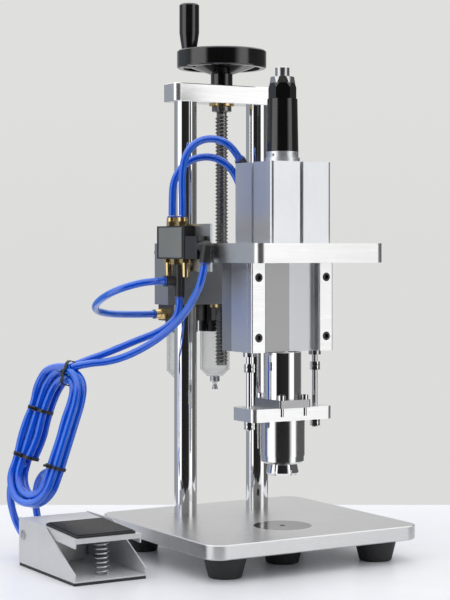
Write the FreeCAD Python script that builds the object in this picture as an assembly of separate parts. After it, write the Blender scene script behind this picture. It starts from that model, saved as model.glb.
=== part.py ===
import FreeCAD
import Part
import math
import os
from FreeCAD import Vector

# Pneumatic vial crimping machine, bench model, with its foot pedal.
# The origin is where the press axis meets the resting plane: X to the right, Y to the back, Z up.

# Feet and base plate
foot_height = 23.7
foot_top_r = 23.0
foot_bottom_r = 17.0
foot_inset = 35.0
foot_round = 2.0
stud_r = 3.0
stud_in_base = 9.0
stud_in_foot = 12.0
base_thickness = 15.0
base_width = 256.0
base_front = 73.0
base_back = 176.0
base_corner_r = 18.0
base_edge = 1.0
disc_r = 31.0
disc_thickness = 6.0
disc_recess_r = 3.0
disc_recess_depth = 2.0

# Columns, beam and their screws
column_r = 12.5
column_spacing = 93.0
column_offset = 125.5
column_free_length = 453.5
column_socket = 6.0
beam_thickness = 20.0
beam_width = 135.0
beam_depth = 32.0
beam_corner_r = 7.0
beam_pocket = 9.0
column_screw_r = 4.0
column_screw_head_r = 6.5
column_screw_head_height = 5.0
column_screw_bite = 20.0
screw_sink = 0.3
edge_break = 0.8

# Lead screw, bearing and handwheel
screw_r = 7.0
screw_tail = 292.0
bearing_sleeve_r = 10.5
bearing_flange_r = 14.0
bearing_flange_thickness = 2.5
wheel_r = 50.0
wheel_rim_height = 20.0
wheel_rim_wall = 7.0
wheel_web_thickness = 5.0
wheel_web_rise = 10.5
wheel_hub_r = 12.2
wheel_hub_length = 29.0
wheel_rim_lift = 19.2
wheel_web_bottom = 12.5
wheel_seat_gap = 0.4
rim_round = 1.5
wheel_screw_r = 3.0
wheel_screw_bite = 14.0
wheel_washer_r = 9.0
wheel_washer_thickness = 1.6
handle_angle = 172.0
handle_radius = 39.0
handle_bottom_r = 8.3
handle_top_r = 11.0
handle_length = 50.0
handle_waist = 18.0
handle_boss_r = 6.5
handle_crown = 1.6
spindle_r = 3.0
spindle_head_r = 5.0
spindle_head_height = 3.0
spindle_sink = 2.0
screw_collar_r = 11.0
screw_collar_height = 6.0

# Carriage and arm plate
carriage_depth = 34.0
carriage_height = 67.0
carriage_top = 297.6
carriage_corner_r = 5.0
bush_wall = 3.0
nut_wall = 3.0
nut_flange_r = 15.0
nut_flange_thickness = 4.0
arm_width = 156.0
arm_front = 76.0
arm_thickness = 20.0
arm_corner_r = 9.0
ram_room = 1.0
arm_screw_r = 4.0
arm_screw_head_r = 6.5
arm_screw_head_height = 8.0
arm_screw_bite = 18.0
arm_screw_x = 20.0
arm_screw_edge = 8.0

# Upper cylinder and stroke adjuster
cylinder_width = 74.0
cylinder_height = 84.8
cylinder_corner_r = 3.5
cylinder_bore_r = 29.0
cylinder_floor = 6.0
cylinder_cap_thickness = 10.0
cylinder_cap_lip = 2.0
slot_width = 6.6
slot_mouth = 4.2
slot_depth = 5.5
slot_lip = 1.6
tie_x = 30.5
tie_r = 2.5
tie_head_r = 4.2
tie_head_height = 5.0
tie_bite = 12.0
flange_ring_r = 18.5
flange_ring_thickness = 5.3
collar_r = 17.0
collar_thickness = 6.4
collar_hole_r = 1.5
collar_hole_depth = 3.0
collar_hole_count = 8
knob_bottom_r = 17.0
knob_top_r = 16.0
knob_height = 55.5
neck_across_flats = 25.6
neck_height = 16.7
knob_play = 0.3
lock_nut_across_flats = 24.0
lock_nut_thickness = 6.6
stem_r = 7.5
stem_above_nut = 10.5
stem_chamfer = 1.0
stem_socket = 6.0
stem_socket_depth = 5.0

# Guide body, its mounting plate and screws
guide_width = 101.0
guide_depth = 41.0
guide_height = 93.4
guide_recess_width = 66.0
guide_recess_depth = 9.5
guide_ridge = 2.5
guide_corner_r = 1.5
guide_screw_x = 42.0
guide_screw_inset = 15.5
guide_screw_r = 3.0
guide_screw_head_r = 4.6
guide_screw_head_height = 5.6
guide_screw_bite = 5.0
guide_top_x = 44.0
guide_top_y = 8.0
guide_top_r = 3.0
guide_top_head_r = 4.8
guide_top_head_height = 6.0
guide_top_bite = 12.0
back_screw_x = 28.0
back_screw_r = 3.0
back_screw_head_r = 4.8
back_screw_head_height = 6.0
back_screw_bite = 8.0
mount_plate_thickness = 21.0
mount_plate_corner_r = 2.0

# Ram, flange, head plate and stop rods
ram_r = 20.0
ram_free_length = 50.1
ram_top_gap = 0.5
neck_r = 9.0
piston_thickness = 16.0
piston_groove_width = 4.0
piston_groove_depth = 2.5
piston_lift = 38.0
piston_spigot_r = 7.0
flange_width = 38.5
flange_depth = 51.0
flange_thickness = 8.3
flange_corner_r = 2.0
flange_screw_x = 14.3
flange_screw_y = 20.3
flange_screw_r = 2.5
flange_screw_head_r = 4.2
flange_screw_head_height = 5.0
head_width = 99.5
head_depth = 42.4
head_thickness = 13.6
head_corner_r = 6.0
rod_r = 3.0
rod_x = 41.0
rod_room = 0.5
rod_channel = 61.0
rod_below_head = 10.0
rod_above_head = 118.0
rod_bush_flange_r = 6.5
rod_bush_sleeve_r = 4.8
rod_bush_flange_height = 5.0
rod_bush_length = 20.0
rod_nut_across_flats = 10.0
rod_nut_height = 4.4
rod_nut_lift = 37.2

# Crimping head
bell_r = 23.6
bell_height = 45.6
bell_bore_r = 17.0
bell_roof = 15.0
bell_step_height = 7.9
bell_step = 0.8
bell_chamfer = 2.2
jaw_count = 6
jaw_slit = 2.0
jaw_mouth_r = 10.4
jaw_lip_r = 9.6
jaw_relief_r = 11.4
jaw_waist_r = 15.2
jaw_flare_r = 17.2
jaw_below_bell = 12.6
jaw_foot_height = 2.6
jaw_body_top = 18.0
jaw_block_width = 7.6
jaw_block_inner_r = 12.0
jaw_block_outer_r = 15.2
jaw_block_top = 29.0
jaw_pin_r = 1.0
jaw_pin_height = 25.5
jaw_pin_radius = 13.6
jaw_pin_length = 11.6
jaw_ring_inner_r = 10.8
jaw_ring_bottom = 21.0
jaw_ring_web = 1.0
bell_spigot_r = 12.0
bell_spigot_height = 8.0
flange_screw_bite = 9.0
plunger_spring_r = 6.2
plunger_spring_wire_r = 0.6
plunger_spring_turns = 5
plunger_r = 9.2
plunger_thickness = 6.0
plunger_stem_r = 4.5
plunger_lift = 2.0
plunger_stem_length = 34.0

# Air valve on the side plate
side_plate_thickness = 2.5
side_plate_front = 13.0
side_plate_length = 91.0
side_plate_rise = 20.4
side_plate_height = 50.0
plate_screw_r = 2.5
plate_screw_head_r = 4.2
plate_screw_head_height = 3.0
plate_screw_pitch = 50.0
plate_screw_rise = 7.0
flat_head_height = 2.0
valve_thickness = 12.5
valve_front = 46.0
valve_length = 60.0
valve_drop = 16.6
valve_height = 35.0
valve_front_cap = 3.0
valve_back_cap = 4.0
label_plate_thickness = 0.8
label_plate_margin = 1.5
port_centre = 72.0
port_pitch = 18.5
outlet_half_pitch = 11.0
port_fitting_r = 6.0
port_fitting_height = 9.0
silencer_r = 4.6
silencer_tip_r = 3.9
silencer_height = 15.0
silencer_nut_height = 4.0
silencer_nut_across_flats = 11.0
pilot_length = 26.0
pilot_height = 24.0
pilot_round = 2.0
plate_screw_bite = 8.0
bracket_screw_bite = 8.0
elbow_hub_r = 6.2
elbow_hub_length = 17.0
elbow_arm_r = 6.0
elbow_arm_length = 17.0
elbow_stem_r = 4.0
elbow_stem_length = 4.0
collet_r = 5.2
collet_height = 1.8
tee_nut_across_flats = 12.0
tee_nut_height = 6.0
tee_run_r = 5.4
tee_run_length = 34.0
tee_run_offset = 5.0
tee_branch_r = 6.0
tee_branch_length = 15.0
tee_branch_drop = 23.5
hose_r = 4.0

# Elbows on the cylinder's back face
back_elbow_x = 16.0
upper_elbow_drop = 9.0
lower_elbow_rise = 16.0
upper_elbow_lean = 35.0
lower_elbow_lean = 10.0
back_elbow_hub_length = 13.5

# Air preparation unit behind the carriage
prep_offset = 178.0
prep_pitch = 44.0
prep_body_width = 43.0
prep_body_depth = 40.0
prep_body_drop = 87.3
prep_body_height = 24.0
prep_body_corner_r = 6.0
prep_collar_r = 18.5
prep_collar_height = 13.0
bowl_r = 17.0
bowl_wall = 2.0
bowl_length = 52.1
bowl_bottom_r = 9.0
drain_r = 5.5
drain_height = 6.0
drain_cock_r = 3.6
drain_cock_height = 9.0
bonnet_r = 16.5
bonnet_height = 24.0
prep_knob_r = 18.0
prep_knob_height = 20.0
prep_knob_grooves = 12
prep_knob_groove_r = 1.6
oil_dome_r = 10.0
oil_dome_height = 14.0
prep_bracket_width = 34.0
prep_bracket_thickness = 3.0
prep_bracket_height = 30.0
prep_bracket_clear = 18.5
bonnet_stem_r = 7.0
inlet_r = 5.5
inlet_depth = 9.0
outlet_fitting_r = 6.5
outlet_fitting_length = 13.0

# Foot pedal
pedal_left = 245.0
pedal_front = 5.0
pedal_width = 80.0
pedal_length = 133.0
pedal_height = 47.0
pedal_sheet = 1.6
pedal_mat_thickness = 3.0
pedal_flat_top = 60.0
pedal_front_height = 8.0
pedal_back_height = 30.0
pedal_slot_length = 8.0
pedal_slot_width = 4.0
pedal_slot_inset = 10.0
pivot_from_back = 12.0
pivot_height = 33.0
pivot_r = 2.5
pivot_head_r = 5.0
pivot_head_height = 1.6
tread_play = 1.5
tread_sheet = 1.6
tread_height = 16.5
tread_tilt = 2.5
tread_length = 124.0
tread_behind_pin = 9.0
tread_flange = 9.0
tread_ear_r = 7.0
pad_length = 73.0
pad_thickness = 2.2
pad_margin = 4.0
pad_front_margin = 4.0
pedal_spring_r = 6.6
pedal_spring_wire_r = 0.9
pedal_spring_turns = 8
pedal_spring_from_front = 20.0
pedal_spring_gap = 0.5
pedal_valve_width = 44.0
pedal_valve_length = 26.0
pedal_valve_height = 20.0
pedal_fitting_r = 6.0
pedal_fitting_length = 12.0
pedal_fitting_pitch = 20.0
pedal_fitting_height = 15.0

# Hank of hose behind the pedal
hank_bottom = (-230.0, 141.0, 53.0)
hank_top = (-186.0, 127.0, 201.0)
hank_width = 54.0
hank_band = 17.0
hank_thickness = 20.0
hank_round = 7.0
hank_facing = (0.51, 0.86, 0.0)
tie_shares = (-0.78, 0.5)
tie_width = 3.6
tie_wall = 1.2

# Clearances
seat_gap = 0.02
running_gap = 0.05
slip_gap = 0.3

# Levels and places that follow from the sizes above
base_bottom = foot_height
base_top = foot_height + base_thickness
beam_bottom = base_top + column_free_length
beam_top = beam_bottom + beam_thickness
carriage_top_z = base_top + carriage_top
carriage_bottom_z = carriage_top_z - carriage_height
arm_bottom = carriage_top_z - arm_thickness
carriage_front = column_offset - carriage_depth / 2
carriage_back = column_offset + carriage_depth / 2
cylinder_top = carriage_top_z + cylinder_height
guide_bottom = arm_bottom - guide_height
flange_top = guide_bottom - ram_free_length
head_top = flange_top - flange_thickness
head_bottom = head_top - head_thickness
bell_bottom = head_bottom - bell_height

UP = Vector(0, 0, 1)
DOWN = Vector(0, 0, -1)
LEFT = Vector(-1, 0, 0)
RIGHT = Vector(1, 0, 0)
BACK = Vector(0, 1, 0)
FRONT = Vector(0, -1, 0)


# Shapes used by many pieces
def block(x0, x1, y0, y1, z0, z1, corner_r=0.0):
    solid = Part.makeBox(x1 - x0, y1 - y0, z1 - z0, Vector(x0, y0, z0))
    if corner_r > 0:
        upright = [e for e in solid.Edges if abs(e.tangentAt(0).z) > 0.99]
        solid = solid.makeFillet(corner_r, upright)
    return solid


def rod(radius, length, start, direction=UP):
    return Part.makeCylinder(radius, length, Vector(*start), direction)


def taper(radius_0, radius_1, length, start, direction=UP):
    return Part.makeCone(radius_0, radius_1, length, Vector(*start), direction)


def prism(points, height):
    loop = [Vector(*p) for p in points]
    face = Part.Face(Part.makePolygon(loop + loop[:1]))
    return face.extrude(height)


def hexagon(across_flats, length, start, direction=UP):
    corner = across_flats / math.sqrt(3)
    turns = [math.radians(60 * k + 30) for k in range(6)]
    solid = prism([(corner * math.cos(a), corner * math.sin(a), 0) for a in turns], Vector(0, 0, length))
    return aim(solid, start, direction)


def aim(solid, start, direction):
    # Moves a solid made along Z from the origin to its start and direction.
    placed = solid.copy()
    placed.Placement = FreeCAD.Placement(Vector(*start), FreeCAD.Rotation(UP, direction))
    return placed


def turned(points, centre=(0, 0, 0), angle=360.0):
    # Revolves an (r, z) outline about a vertical line.
    loop = [Vector(r, 0, z) for r, z in points]
    face = Part.Face(Part.makePolygon(loop + loop[:1]))
    solid = face.revolve(Vector(0, 0, 0), UP, angle)
    solid.translate(Vector(*centre))
    return solid


def cap_screw(head_r, head_height, shank_r, length, seat, direction):
    # A socket screw: its head rests on the seat and its shank runs along the direction.
    head = rod(head_r, head_height, (0, 0, -head_height))
    socket = hexagon(head_r * 1.05, head_height * 0.55, (0, 0, -head_height))
    shank = rod(shank_r, length, (0, 0, 0))
    return aim(head.cut(socket).fuse(shank), seat, direction)


def screw_room(head_r, head_height, shank_r, length, seat, direction):
    # The counterbore and hole that a socket screw sits in.
    room = rod(head_r + seat_gap, head_height + 20, (0, 0, -head_height - 20))
    hole = rod(shank_r + seat_gap, length + 1 + seat_gap, (0, 0, -1))
    return aim(room.fuse(hole), seat, direction)


def flat_screw(head_r, head_height, shank_r, length, face, direction, room=0.0):
    # A countersunk screw flush with its face, or with room around it the hole for one.
    head = taper(head_r + room, shank_r + room, head_height, (0, 0, 0))
    solid = head.fuse(rod(shank_r + room, length + room, (0, 0, 0)))
    return aim(solid, face, direction)


def coil(radius, wire_r, turns, start, height):
    # A compression spring along Z with its wire's centre line from start upwards.
    helix = Part.makeHelix(height / turns, height, radius)
    section = Part.Wire(Part.makeCircle(wire_r, Vector(radius, 0, 0), BACK))
    spring = Part.Wire(helix.Edges).makePipeShell([section], True, True)
    spring.translate(Vector(*start))
    return spring


def tube(points, radius):
    # Straight runs joined by tangent arcs, as large as the two runs of each corner allow.
    stops = [Vector(*p) for p in points]
    edges = []
    radii = []
    here = stops[0]
    for before, corner, after in zip(stops, stops[1:], stops[2:]):
        back = before - corner
        ahead = after - corner
        share = 0.45 * min(back.Length, ahead.Length)
        half_turn = (math.pi - back.getAngle(ahead)) / 2
        radii.append(share / math.tan(half_turn))
        back.normalize()
        ahead.normalize()
        enter = corner + back * share
        leave = corner + ahead * share
        bisector = back + ahead
        bisector.normalize()
        reach = radii[-1] / math.cos(half_turn)
        middle = corner + bisector * (reach - radii[-1])
        edges.append(Part.LineSegment(here, enter).toShape())
        edges.append(Part.Arc(enter, middle, leave).toShape())
        here = leave
    edges.append(Part.LineSegment(here, stops[-1]).toShape())
    path = Part.Wire(edges)
    start_direction = stops[1] - stops[0]
    section = Part.Wire(Part.makeCircle(radius, stops[0], start_direction))
    solid = path.makePipeShell([section], True, False)
    return solid, path.Length, min(radii)


def mirrored(solids):
    # Each solid and its twin across the machine's middle plane.
    twins = [s.mirror(Vector(0, 0, 0), Vector(1, 0, 0)) for s in solids]
    return solids + twins


nodes = {}


def keep(name, solids):
    # A node gathers every solid that is kept under its name.
    nodes.setdefault(name, []).extend(solids if isinstance(solids, list) else [solids])


# Base, feet and locating disc
def base():
    base_left = -base_width / 2
    base_right = base_width / 2
    foot_places = [(x, y) for x in (base_left + foot_inset, base_right - foot_inset)
                   for y in (foot_inset - base_front, base_back - foot_inset)] + [(0, 0)]
    plate = block(base_left, base_right, -base_front, base_back, base_bottom, base_top, base_corner_r)
    rim = [e for e in plate.Edges if abs(e.tangentAt(0).z) < 0.01]
    plate = plate.makeChamfer(base_edge, rim)
    plate = plate.cut(rod(disc_r + seat_gap, disc_thickness, (0, 0, base_top - disc_thickness)))
    feet = []
    studs = []
    for x, y in foot_places:
        foot = taper(foot_bottom_r, foot_top_r, foot_height, (x, y, 0))
        foot = foot.makeFillet(foot_round, [e for e in foot.Edges if e.CenterOfMass.z < 0.1])
        stud = rod(stud_r, stud_in_foot + stud_in_base, (x, y, foot_height - stud_in_foot))
        room = rod(stud_r + seat_gap, stud_in_foot + stud_in_base, (x, y, foot_height - stud_in_foot))
        feet.append(foot.cut(room))
        studs.append(stud)
        plate = plate.cut(room)
    for x in (-column_spacing / 2, column_spacing / 2):
        plate = plate.cut(rod(column_r + seat_gap, column_socket,
                              (x, column_offset, base_top - column_socket)))
        plate = plate.cut(column_screw_room(x, base_bottom + column_screw_head_height + screw_sink, UP))
    disc = rod(disc_r, disc_thickness, (0, 0, base_top - disc_thickness))
    disc = disc.cut(rod(disc_recess_r, disc_recess_depth, (0, 0, base_top - disc_recess_depth)))
    keep("base_plate", plate)
    keep("rubber_feet", feet)
    keep("frame_fasteners", studs)
    keep("locating_disc", disc)


# Columns, top beam and screw bearing
def column_screw_room(x, seat_z, direction):
    return screw_room(column_screw_head_r, column_screw_head_height, column_screw_r,
                      column_screw_bite + beam_thickness, (x, column_offset, seat_z), direction)


def frame():
    sides = (-column_spacing / 2, column_spacing / 2)
    foot_seat = base_bottom + column_screw_head_height + screw_sink
    head_seat = beam_top - column_screw_head_height - screw_sink
    bottom = base_top - column_socket
    columns = []
    screws = []
    half = beam_width / 2
    beam = block(-half, half, column_offset - beam_depth / 2, column_offset + beam_depth / 2,
                 beam_bottom, beam_top, beam_corner_r)
    beam = beam.makeChamfer(edge_break, [e for e in beam.Edges if abs(e.tangentAt(0).z) < 0.01])
    for x in sides:
        column = rod(column_r, beam_bottom + beam_pocket - bottom, (x, column_offset, bottom))
        foot_screw_length = bottom + column_screw_bite - foot_seat
        head_screw_length = head_seat - beam_bottom - beam_pocket + column_screw_bite
        for seat, length, direction in ((foot_seat, foot_screw_length, UP),
                                        (head_seat, head_screw_length, DOWN)):
            place = (x, column_offset, seat)
            screws.append(cap_screw(column_screw_head_r, column_screw_head_height, column_screw_r,
                                    length, place, direction))
            column = column.cut(rod(column_screw_r + seat_gap, length + seat_gap, place, direction))
        columns.append(column)
        beam = beam.cut(rod(column_r + seat_gap, beam_pocket, (x, column_offset, beam_bottom)))
        beam = beam.cut(column_screw_room(x, head_seat, DOWN))
    beam = beam.cut(rod(bearing_sleeve_r + seat_gap, beam_thickness, (0, column_offset, beam_bottom)))
    bearing = rod(bearing_sleeve_r, beam_thickness, (0, column_offset, beam_bottom))
    bearing = bearing.fuse(rod(bearing_flange_r, bearing_flange_thickness,
                               (0, column_offset, beam_bottom - bearing_flange_thickness)))
    bearing = bearing.cut(rod(screw_r + running_gap, beam_thickness + bearing_flange_thickness,
                              (0, column_offset, beam_bottom - bearing_flange_thickness)))
    keep("columns", columns)
    keep("frame_fasteners", screws)
    keep("top_beam", beam)
    keep("screw_bearing", bearing)


# Handwheel with its revolving handle, on the lead screw
def handwheel():
    hub_bottom = beam_top + wheel_seat_gap
    hub_top = hub_bottom + wheel_hub_length
    rim_top = wheel_rim_lift + wheel_rim_height
    rim_inner = wheel_r - wheel_rim_wall
    web_rim = wheel_web_bottom + wheel_web_rise
    outline = [(screw_r + seat_gap, 0), (wheel_hub_r, 0), (wheel_hub_r, wheel_web_bottom),
               (rim_inner, web_rim), (rim_inner, wheel_rim_lift), (wheel_r - rim_round, wheel_rim_lift),
               (wheel_r, wheel_rim_lift + rim_round), (wheel_r, rim_top - rim_round),
               (wheel_r - rim_round, rim_top), (rim_inner, rim_top), (rim_inner,
                                                                      web_rim + wheel_web_thickness),
               (wheel_hub_r, wheel_web_bottom + wheel_web_thickness), (wheel_hub_r, wheel_hub_length),
               (screw_r + seat_gap, wheel_hub_length)]
    wheel = turned(outline, (0, column_offset, hub_bottom))
    turn = math.radians(handle_angle)
    x = handle_radius * math.cos(turn)
    y = column_offset + handle_radius * math.sin(turn)
    grip_bottom = hub_bottom + rim_top + slip_gap
    boss_bottom = hub_bottom + wheel_web_bottom + wheel_web_rise * 0.6
    wheel = wheel.fuse(rod(handle_boss_r, hub_bottom + rim_top - boss_bottom, (x, y, boss_bottom)))
    wheel = wheel.cut(rod(spindle_r + seat_gap, rim_top, (x, y, hub_bottom)))
    spindle_top = grip_bottom + handle_length - spindle_sink
    spindle = rod(spindle_r, spindle_top - boss_bottom, (x, y, boss_bottom))
    spindle = spindle.fuse(rod(spindle_head_r, spindle_head_height,
                               (x, y, spindle_top - spindle_head_height)))
    seat = spindle_top - spindle_head_height - running_gap - grip_bottom
    grip = turned([(spindle_r + running_gap, 0), (handle_bottom_r, 0),
                   (handle_bottom_r + 1.5, handle_waist / 2),
                   (handle_top_r, handle_waist), (handle_top_r, handle_length - handle_crown),
                   (handle_top_r - handle_crown, handle_length), (spindle_head_r + slip_gap, handle_length),
                   (spindle_head_r + slip_gap, seat), (spindle_r + running_gap, seat)], (x, y, grip_bottom))
    tail_z = beam_bottom - screw_tail
    screw = rod(screw_r, hub_top - tail_z, (0, column_offset, tail_z))
    screw = screw.makeChamfer(edge_break, [e for e in screw.Edges if e.CenterOfMass.z < tail_z + 0.1])
    screw = screw.cut(rod(wheel_screw_r + seat_gap, wheel_screw_bite + 1,
                          (0, column_offset, hub_top - wheel_screw_bite)))
    washer = rod(wheel_washer_r, wheel_washer_thickness, (0, column_offset, hub_top))
    washer = washer.cut(rod(wheel_screw_r + seat_gap, wheel_washer_thickness, (0, column_offset, hub_top)))
    wheel_screw = cap_screw(wheel_screw_r * 1.7, wheel_screw_r * 1.6, wheel_screw_r,
                            wheel_washer_thickness + wheel_screw_bite - 1,
                            (0, column_offset, hub_top + wheel_washer_thickness), DOWN)
    collar = rod(screw_collar_r, screw_collar_height,
                 (0, column_offset,
                  beam_bottom - bearing_flange_thickness - running_gap - screw_collar_height))
    collar = collar.cut(rod(screw_r + seat_gap, screw_tail, (0, column_offset, tail_z)))
    keep("handwheel", wheel)
    keep("lead_screw", screw)
    keep("lead_screw", collar)
    keep("lead_screw", washer)
    keep("lead_screw", wheel_screw)
    keep("lead_screw", spindle)
    keep("handle_grip", grip)


# Carriage on the columns and the arm plate in front of it
def arm_screw_places():
    z = arm_bottom + arm_thickness / 2
    outer = arm_width / 2 - arm_screw_edge
    return [(x, z) for x in (-outer, -arm_screw_x, arm_screw_x, outer)]


def carriage():
    half = arm_width / 2
    body = block(-half, half, carriage_front, carriage_back, carriage_bottom_z, carriage_top_z)
    upright = [e for e in body.Edges if abs(e.tangentAt(0).z) > 0.99 and e.CenterOfMass.y > column_offset]
    body = body.makeFillet(carriage_corner_r, upright)
    arm = block(-half, half, -arm_front, carriage_front, arm_bottom, carriage_top_z)
    corners = [e for e in arm.Edges if abs(e.tangentAt(0).z) > 0.99 and e.CenterOfMass.y < 0]
    arm = arm.makeFillet(arm_corner_r, corners)
    arm = arm.cut(rod(neck_r + ram_room, arm_thickness, (0, 0, arm_bottom)))
    bushes = []
    for x in (-column_spacing / 2, column_spacing / 2):
        hole = rod(column_r + bush_wall + seat_gap, carriage_height, (x, column_offset, carriage_bottom_z))
        body = body.cut(hole)
        bush = rod(column_r + bush_wall, carriage_height, (x, column_offset, carriage_bottom_z))
        bushes.append(bush.cut(rod(column_r + running_gap, carriage_height,
                                   (x, column_offset, carriage_bottom_z))))
    body = body.cut(rod(screw_r + nut_wall + seat_gap, carriage_height,
                        (0, column_offset, carriage_bottom_z)))
    nut = rod(screw_r + nut_wall, carriage_height, (0, column_offset, carriage_bottom_z))
    nut_low = carriage_bottom_z - nut_flange_thickness
    nut = nut.fuse(rod(nut_flange_r, nut_flange_thickness, (0, column_offset, nut_low)))
    nut = nut.cut(rod(screw_r + running_gap, carriage_height + nut_flange_thickness,
                      (0, column_offset, nut_low)))
    screws = []
    seat_y = carriage_back - arm_screw_head_height
    length = seat_y - carriage_front + arm_screw_bite
    for x, z in arm_screw_places():
        screws.append(cap_screw(arm_screw_head_r, arm_screw_head_height, arm_screw_r, length,
                                (x, seat_y, z), FRONT))
        room = screw_room(arm_screw_head_r, arm_screw_head_height, arm_screw_r, length, (x, seat_y, z),
                          FRONT)
        body = body.cut(room)
        arm = arm.cut(room)
    for x, y in guide_top_places():
        arm = arm.cut(guide_top_room(x, y))
    for x, y in tie_places():
        arm = arm.cut(rod(tie_r + seat_gap, tie_bite, (x, y, carriage_top_z - tie_bite)))
    for y, z in plate_screw_places():
        arm = arm.cut(plate_screw_room(y, z))
    keep("carriage_block", body)
    keep("carriage_bushes", bushes)
    keep("carriage_bushes", nut)
    keep("arm_plate", arm)
    keep("carriage_screws", screws)


# Upper cylinder, its cap and the stroke adjuster
def tie_places():
    return [(x, y) for x in (-tie_x, tie_x) for y in (-tie_x, tie_x)]


def elbow_places():
    return [(-back_elbow_x, cylinder_top - upper_elbow_drop),
            (-back_elbow_x, carriage_top_z + lower_elbow_rise)]


def slot_room(turn):
    # The sensor slot of one face: a narrow mouth over a wider channel.
    half = cylinder_width / 2
    mouth = block(-slot_mouth / 2, slot_mouth / 2, -half - 1, -half + slot_lip + 0.1, carriage_top_z,
                  cylinder_top)
    channel = block(-slot_width / 2, slot_width / 2, -half + slot_lip, -half + slot_depth,
                    carriage_top_z, cylinder_top)
    room = mouth.fuse(channel)
    room.rotate(Vector(0, 0, 0), UP, turn)
    return room


def upper_cylinder():
    half = cylinder_width / 2
    body = block(-half, half, -half, half, carriage_top_z, cylinder_top, cylinder_corner_r)
    body = body.cut(rod(cylinder_bore_r, cylinder_height, (0, 0, carriage_top_z + cylinder_floor)))
    body = body.cut(rod(neck_r + running_gap, cylinder_height, (0, 0, carriage_top_z)))
    for turn in (0, 90, 180, 270):
        body = body.cut(slot_room(turn))
    ties = []
    tie_seat = cylinder_top - tie_head_height
    tie_length = tie_seat - carriage_top_z + tie_bite
    for x, y in tie_places():
        ties.append(cap_screw(tie_head_r, tie_head_height, tie_r, tie_length, (x, y, tie_seat), DOWN))
        body = body.cut(screw_room(tie_head_r, tie_head_height, tie_r, tie_length, (x, y, tie_seat), DOWN))
    for x, z in elbow_places():
        body = body.cut(rod(elbow_stem_r + seat_gap, elbow_stem_length, (x, half - elbow_stem_length, z),
                            BACK))
    cap = rod(cylinder_bore_r - seat_gap, cylinder_cap_thickness,
              (0, 0, cylinder_top - cylinder_cap_thickness))
    stem_bottom = cylinder_top - cylinder_cap_thickness
    cap = cap.cut(rod(stem_r + seat_gap, cylinder_cap_thickness, (0, 0, stem_bottom)))
    ring_top = cylinder_top + flange_ring_thickness
    ring = rod(flange_ring_r, flange_ring_thickness, (0, 0, cylinder_top))
    ring = ring.cut(rod(stem_r + seat_gap, flange_ring_thickness, (0, 0, cylinder_top)))
    collar_top = ring_top + collar_thickness
    collar = rod(collar_r, collar_thickness, (0, 0, ring_top))
    collar = collar.cut(rod(stem_r + seat_gap, collar_thickness, (0, 0, ring_top)))
    for k in range(collar_hole_count):
        turn = math.radians(360 * (k + 0.5) / collar_hole_count)
        way = Vector(math.cos(turn), math.sin(turn), 0)
        start = way * (collar_r - collar_hole_depth)
        collar = collar.cut(rod(collar_hole_r, collar_hole_depth + 1,
                                (start.x, start.y, ring_top + collar_thickness * 0.4), way))
    knob_bottom = collar_top + running_gap
    knob = taper(knob_bottom_r, knob_top_r, knob_height, (0, 0, knob_bottom))
    neck_bottom = knob_bottom + knob_height
    neck = hexagon(neck_across_flats, neck_height, (0, 0, neck_bottom))
    neck = neck.common(taper(knob_top_r + 2, neck_across_flats / 2, neck_height + 2, (0, 0, neck_bottom)))
    knob = knob.fuse(neck).cut(rod(stem_r + running_gap, knob_height + neck_height, (0, 0, knob_bottom)))
    nut_bottom = neck_bottom + neck_height + running_gap
    lock_nut = hexagon(lock_nut_across_flats, lock_nut_thickness, (0, 0, nut_bottom))
    lock_nut = lock_nut.common(taper(lock_nut_across_flats * 0.56, lock_nut_across_flats * 0.52,
                                     lock_nut_thickness, (0, 0, nut_bottom)))
    lock_nut = lock_nut.cut(rod(stem_r + seat_gap, lock_nut_thickness, (0, 0, nut_bottom)))
    stem_top = nut_bottom + lock_nut_thickness + stem_above_nut
    stem = rod(stem_r, stem_top - stem_bottom, (0, 0, stem_bottom))
    stem = stem.makeChamfer(stem_chamfer, [e for e in stem.Edges if e.CenterOfMass.z > stem_top - 0.1])
    stem = stem.cut(hexagon(stem_socket, stem_socket_depth, (0, 0, stem_top - stem_socket_depth)))
    keep("cylinder_body", body)
    keep("carriage_screws", ties)
    keep("cylinder_body", cap)
    keep("cylinder_body", ring)
    keep("cylinder_body", collar)
    keep("adjuster_knob", knob)
    keep("adjuster_stem", lock_nut)
    keep("adjuster_stem", stem)


# Guide body under the arm plate, its side strips and mounting plate
def guide_top_places():
    back = guide_depth / 2 + mount_plate_thickness / 2
    return [(x, y) for x in (-guide_top_x, guide_top_x) for y in (guide_top_y, back)]


def guide_top_room(x, y):
    seat = (x, y, carriage_top_z - guide_top_head_height)
    length = arm_thickness - guide_top_head_height + guide_top_bite
    return screw_room(guide_top_head_r, guide_top_head_height, guide_top_r, length, seat, DOWN)


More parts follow.
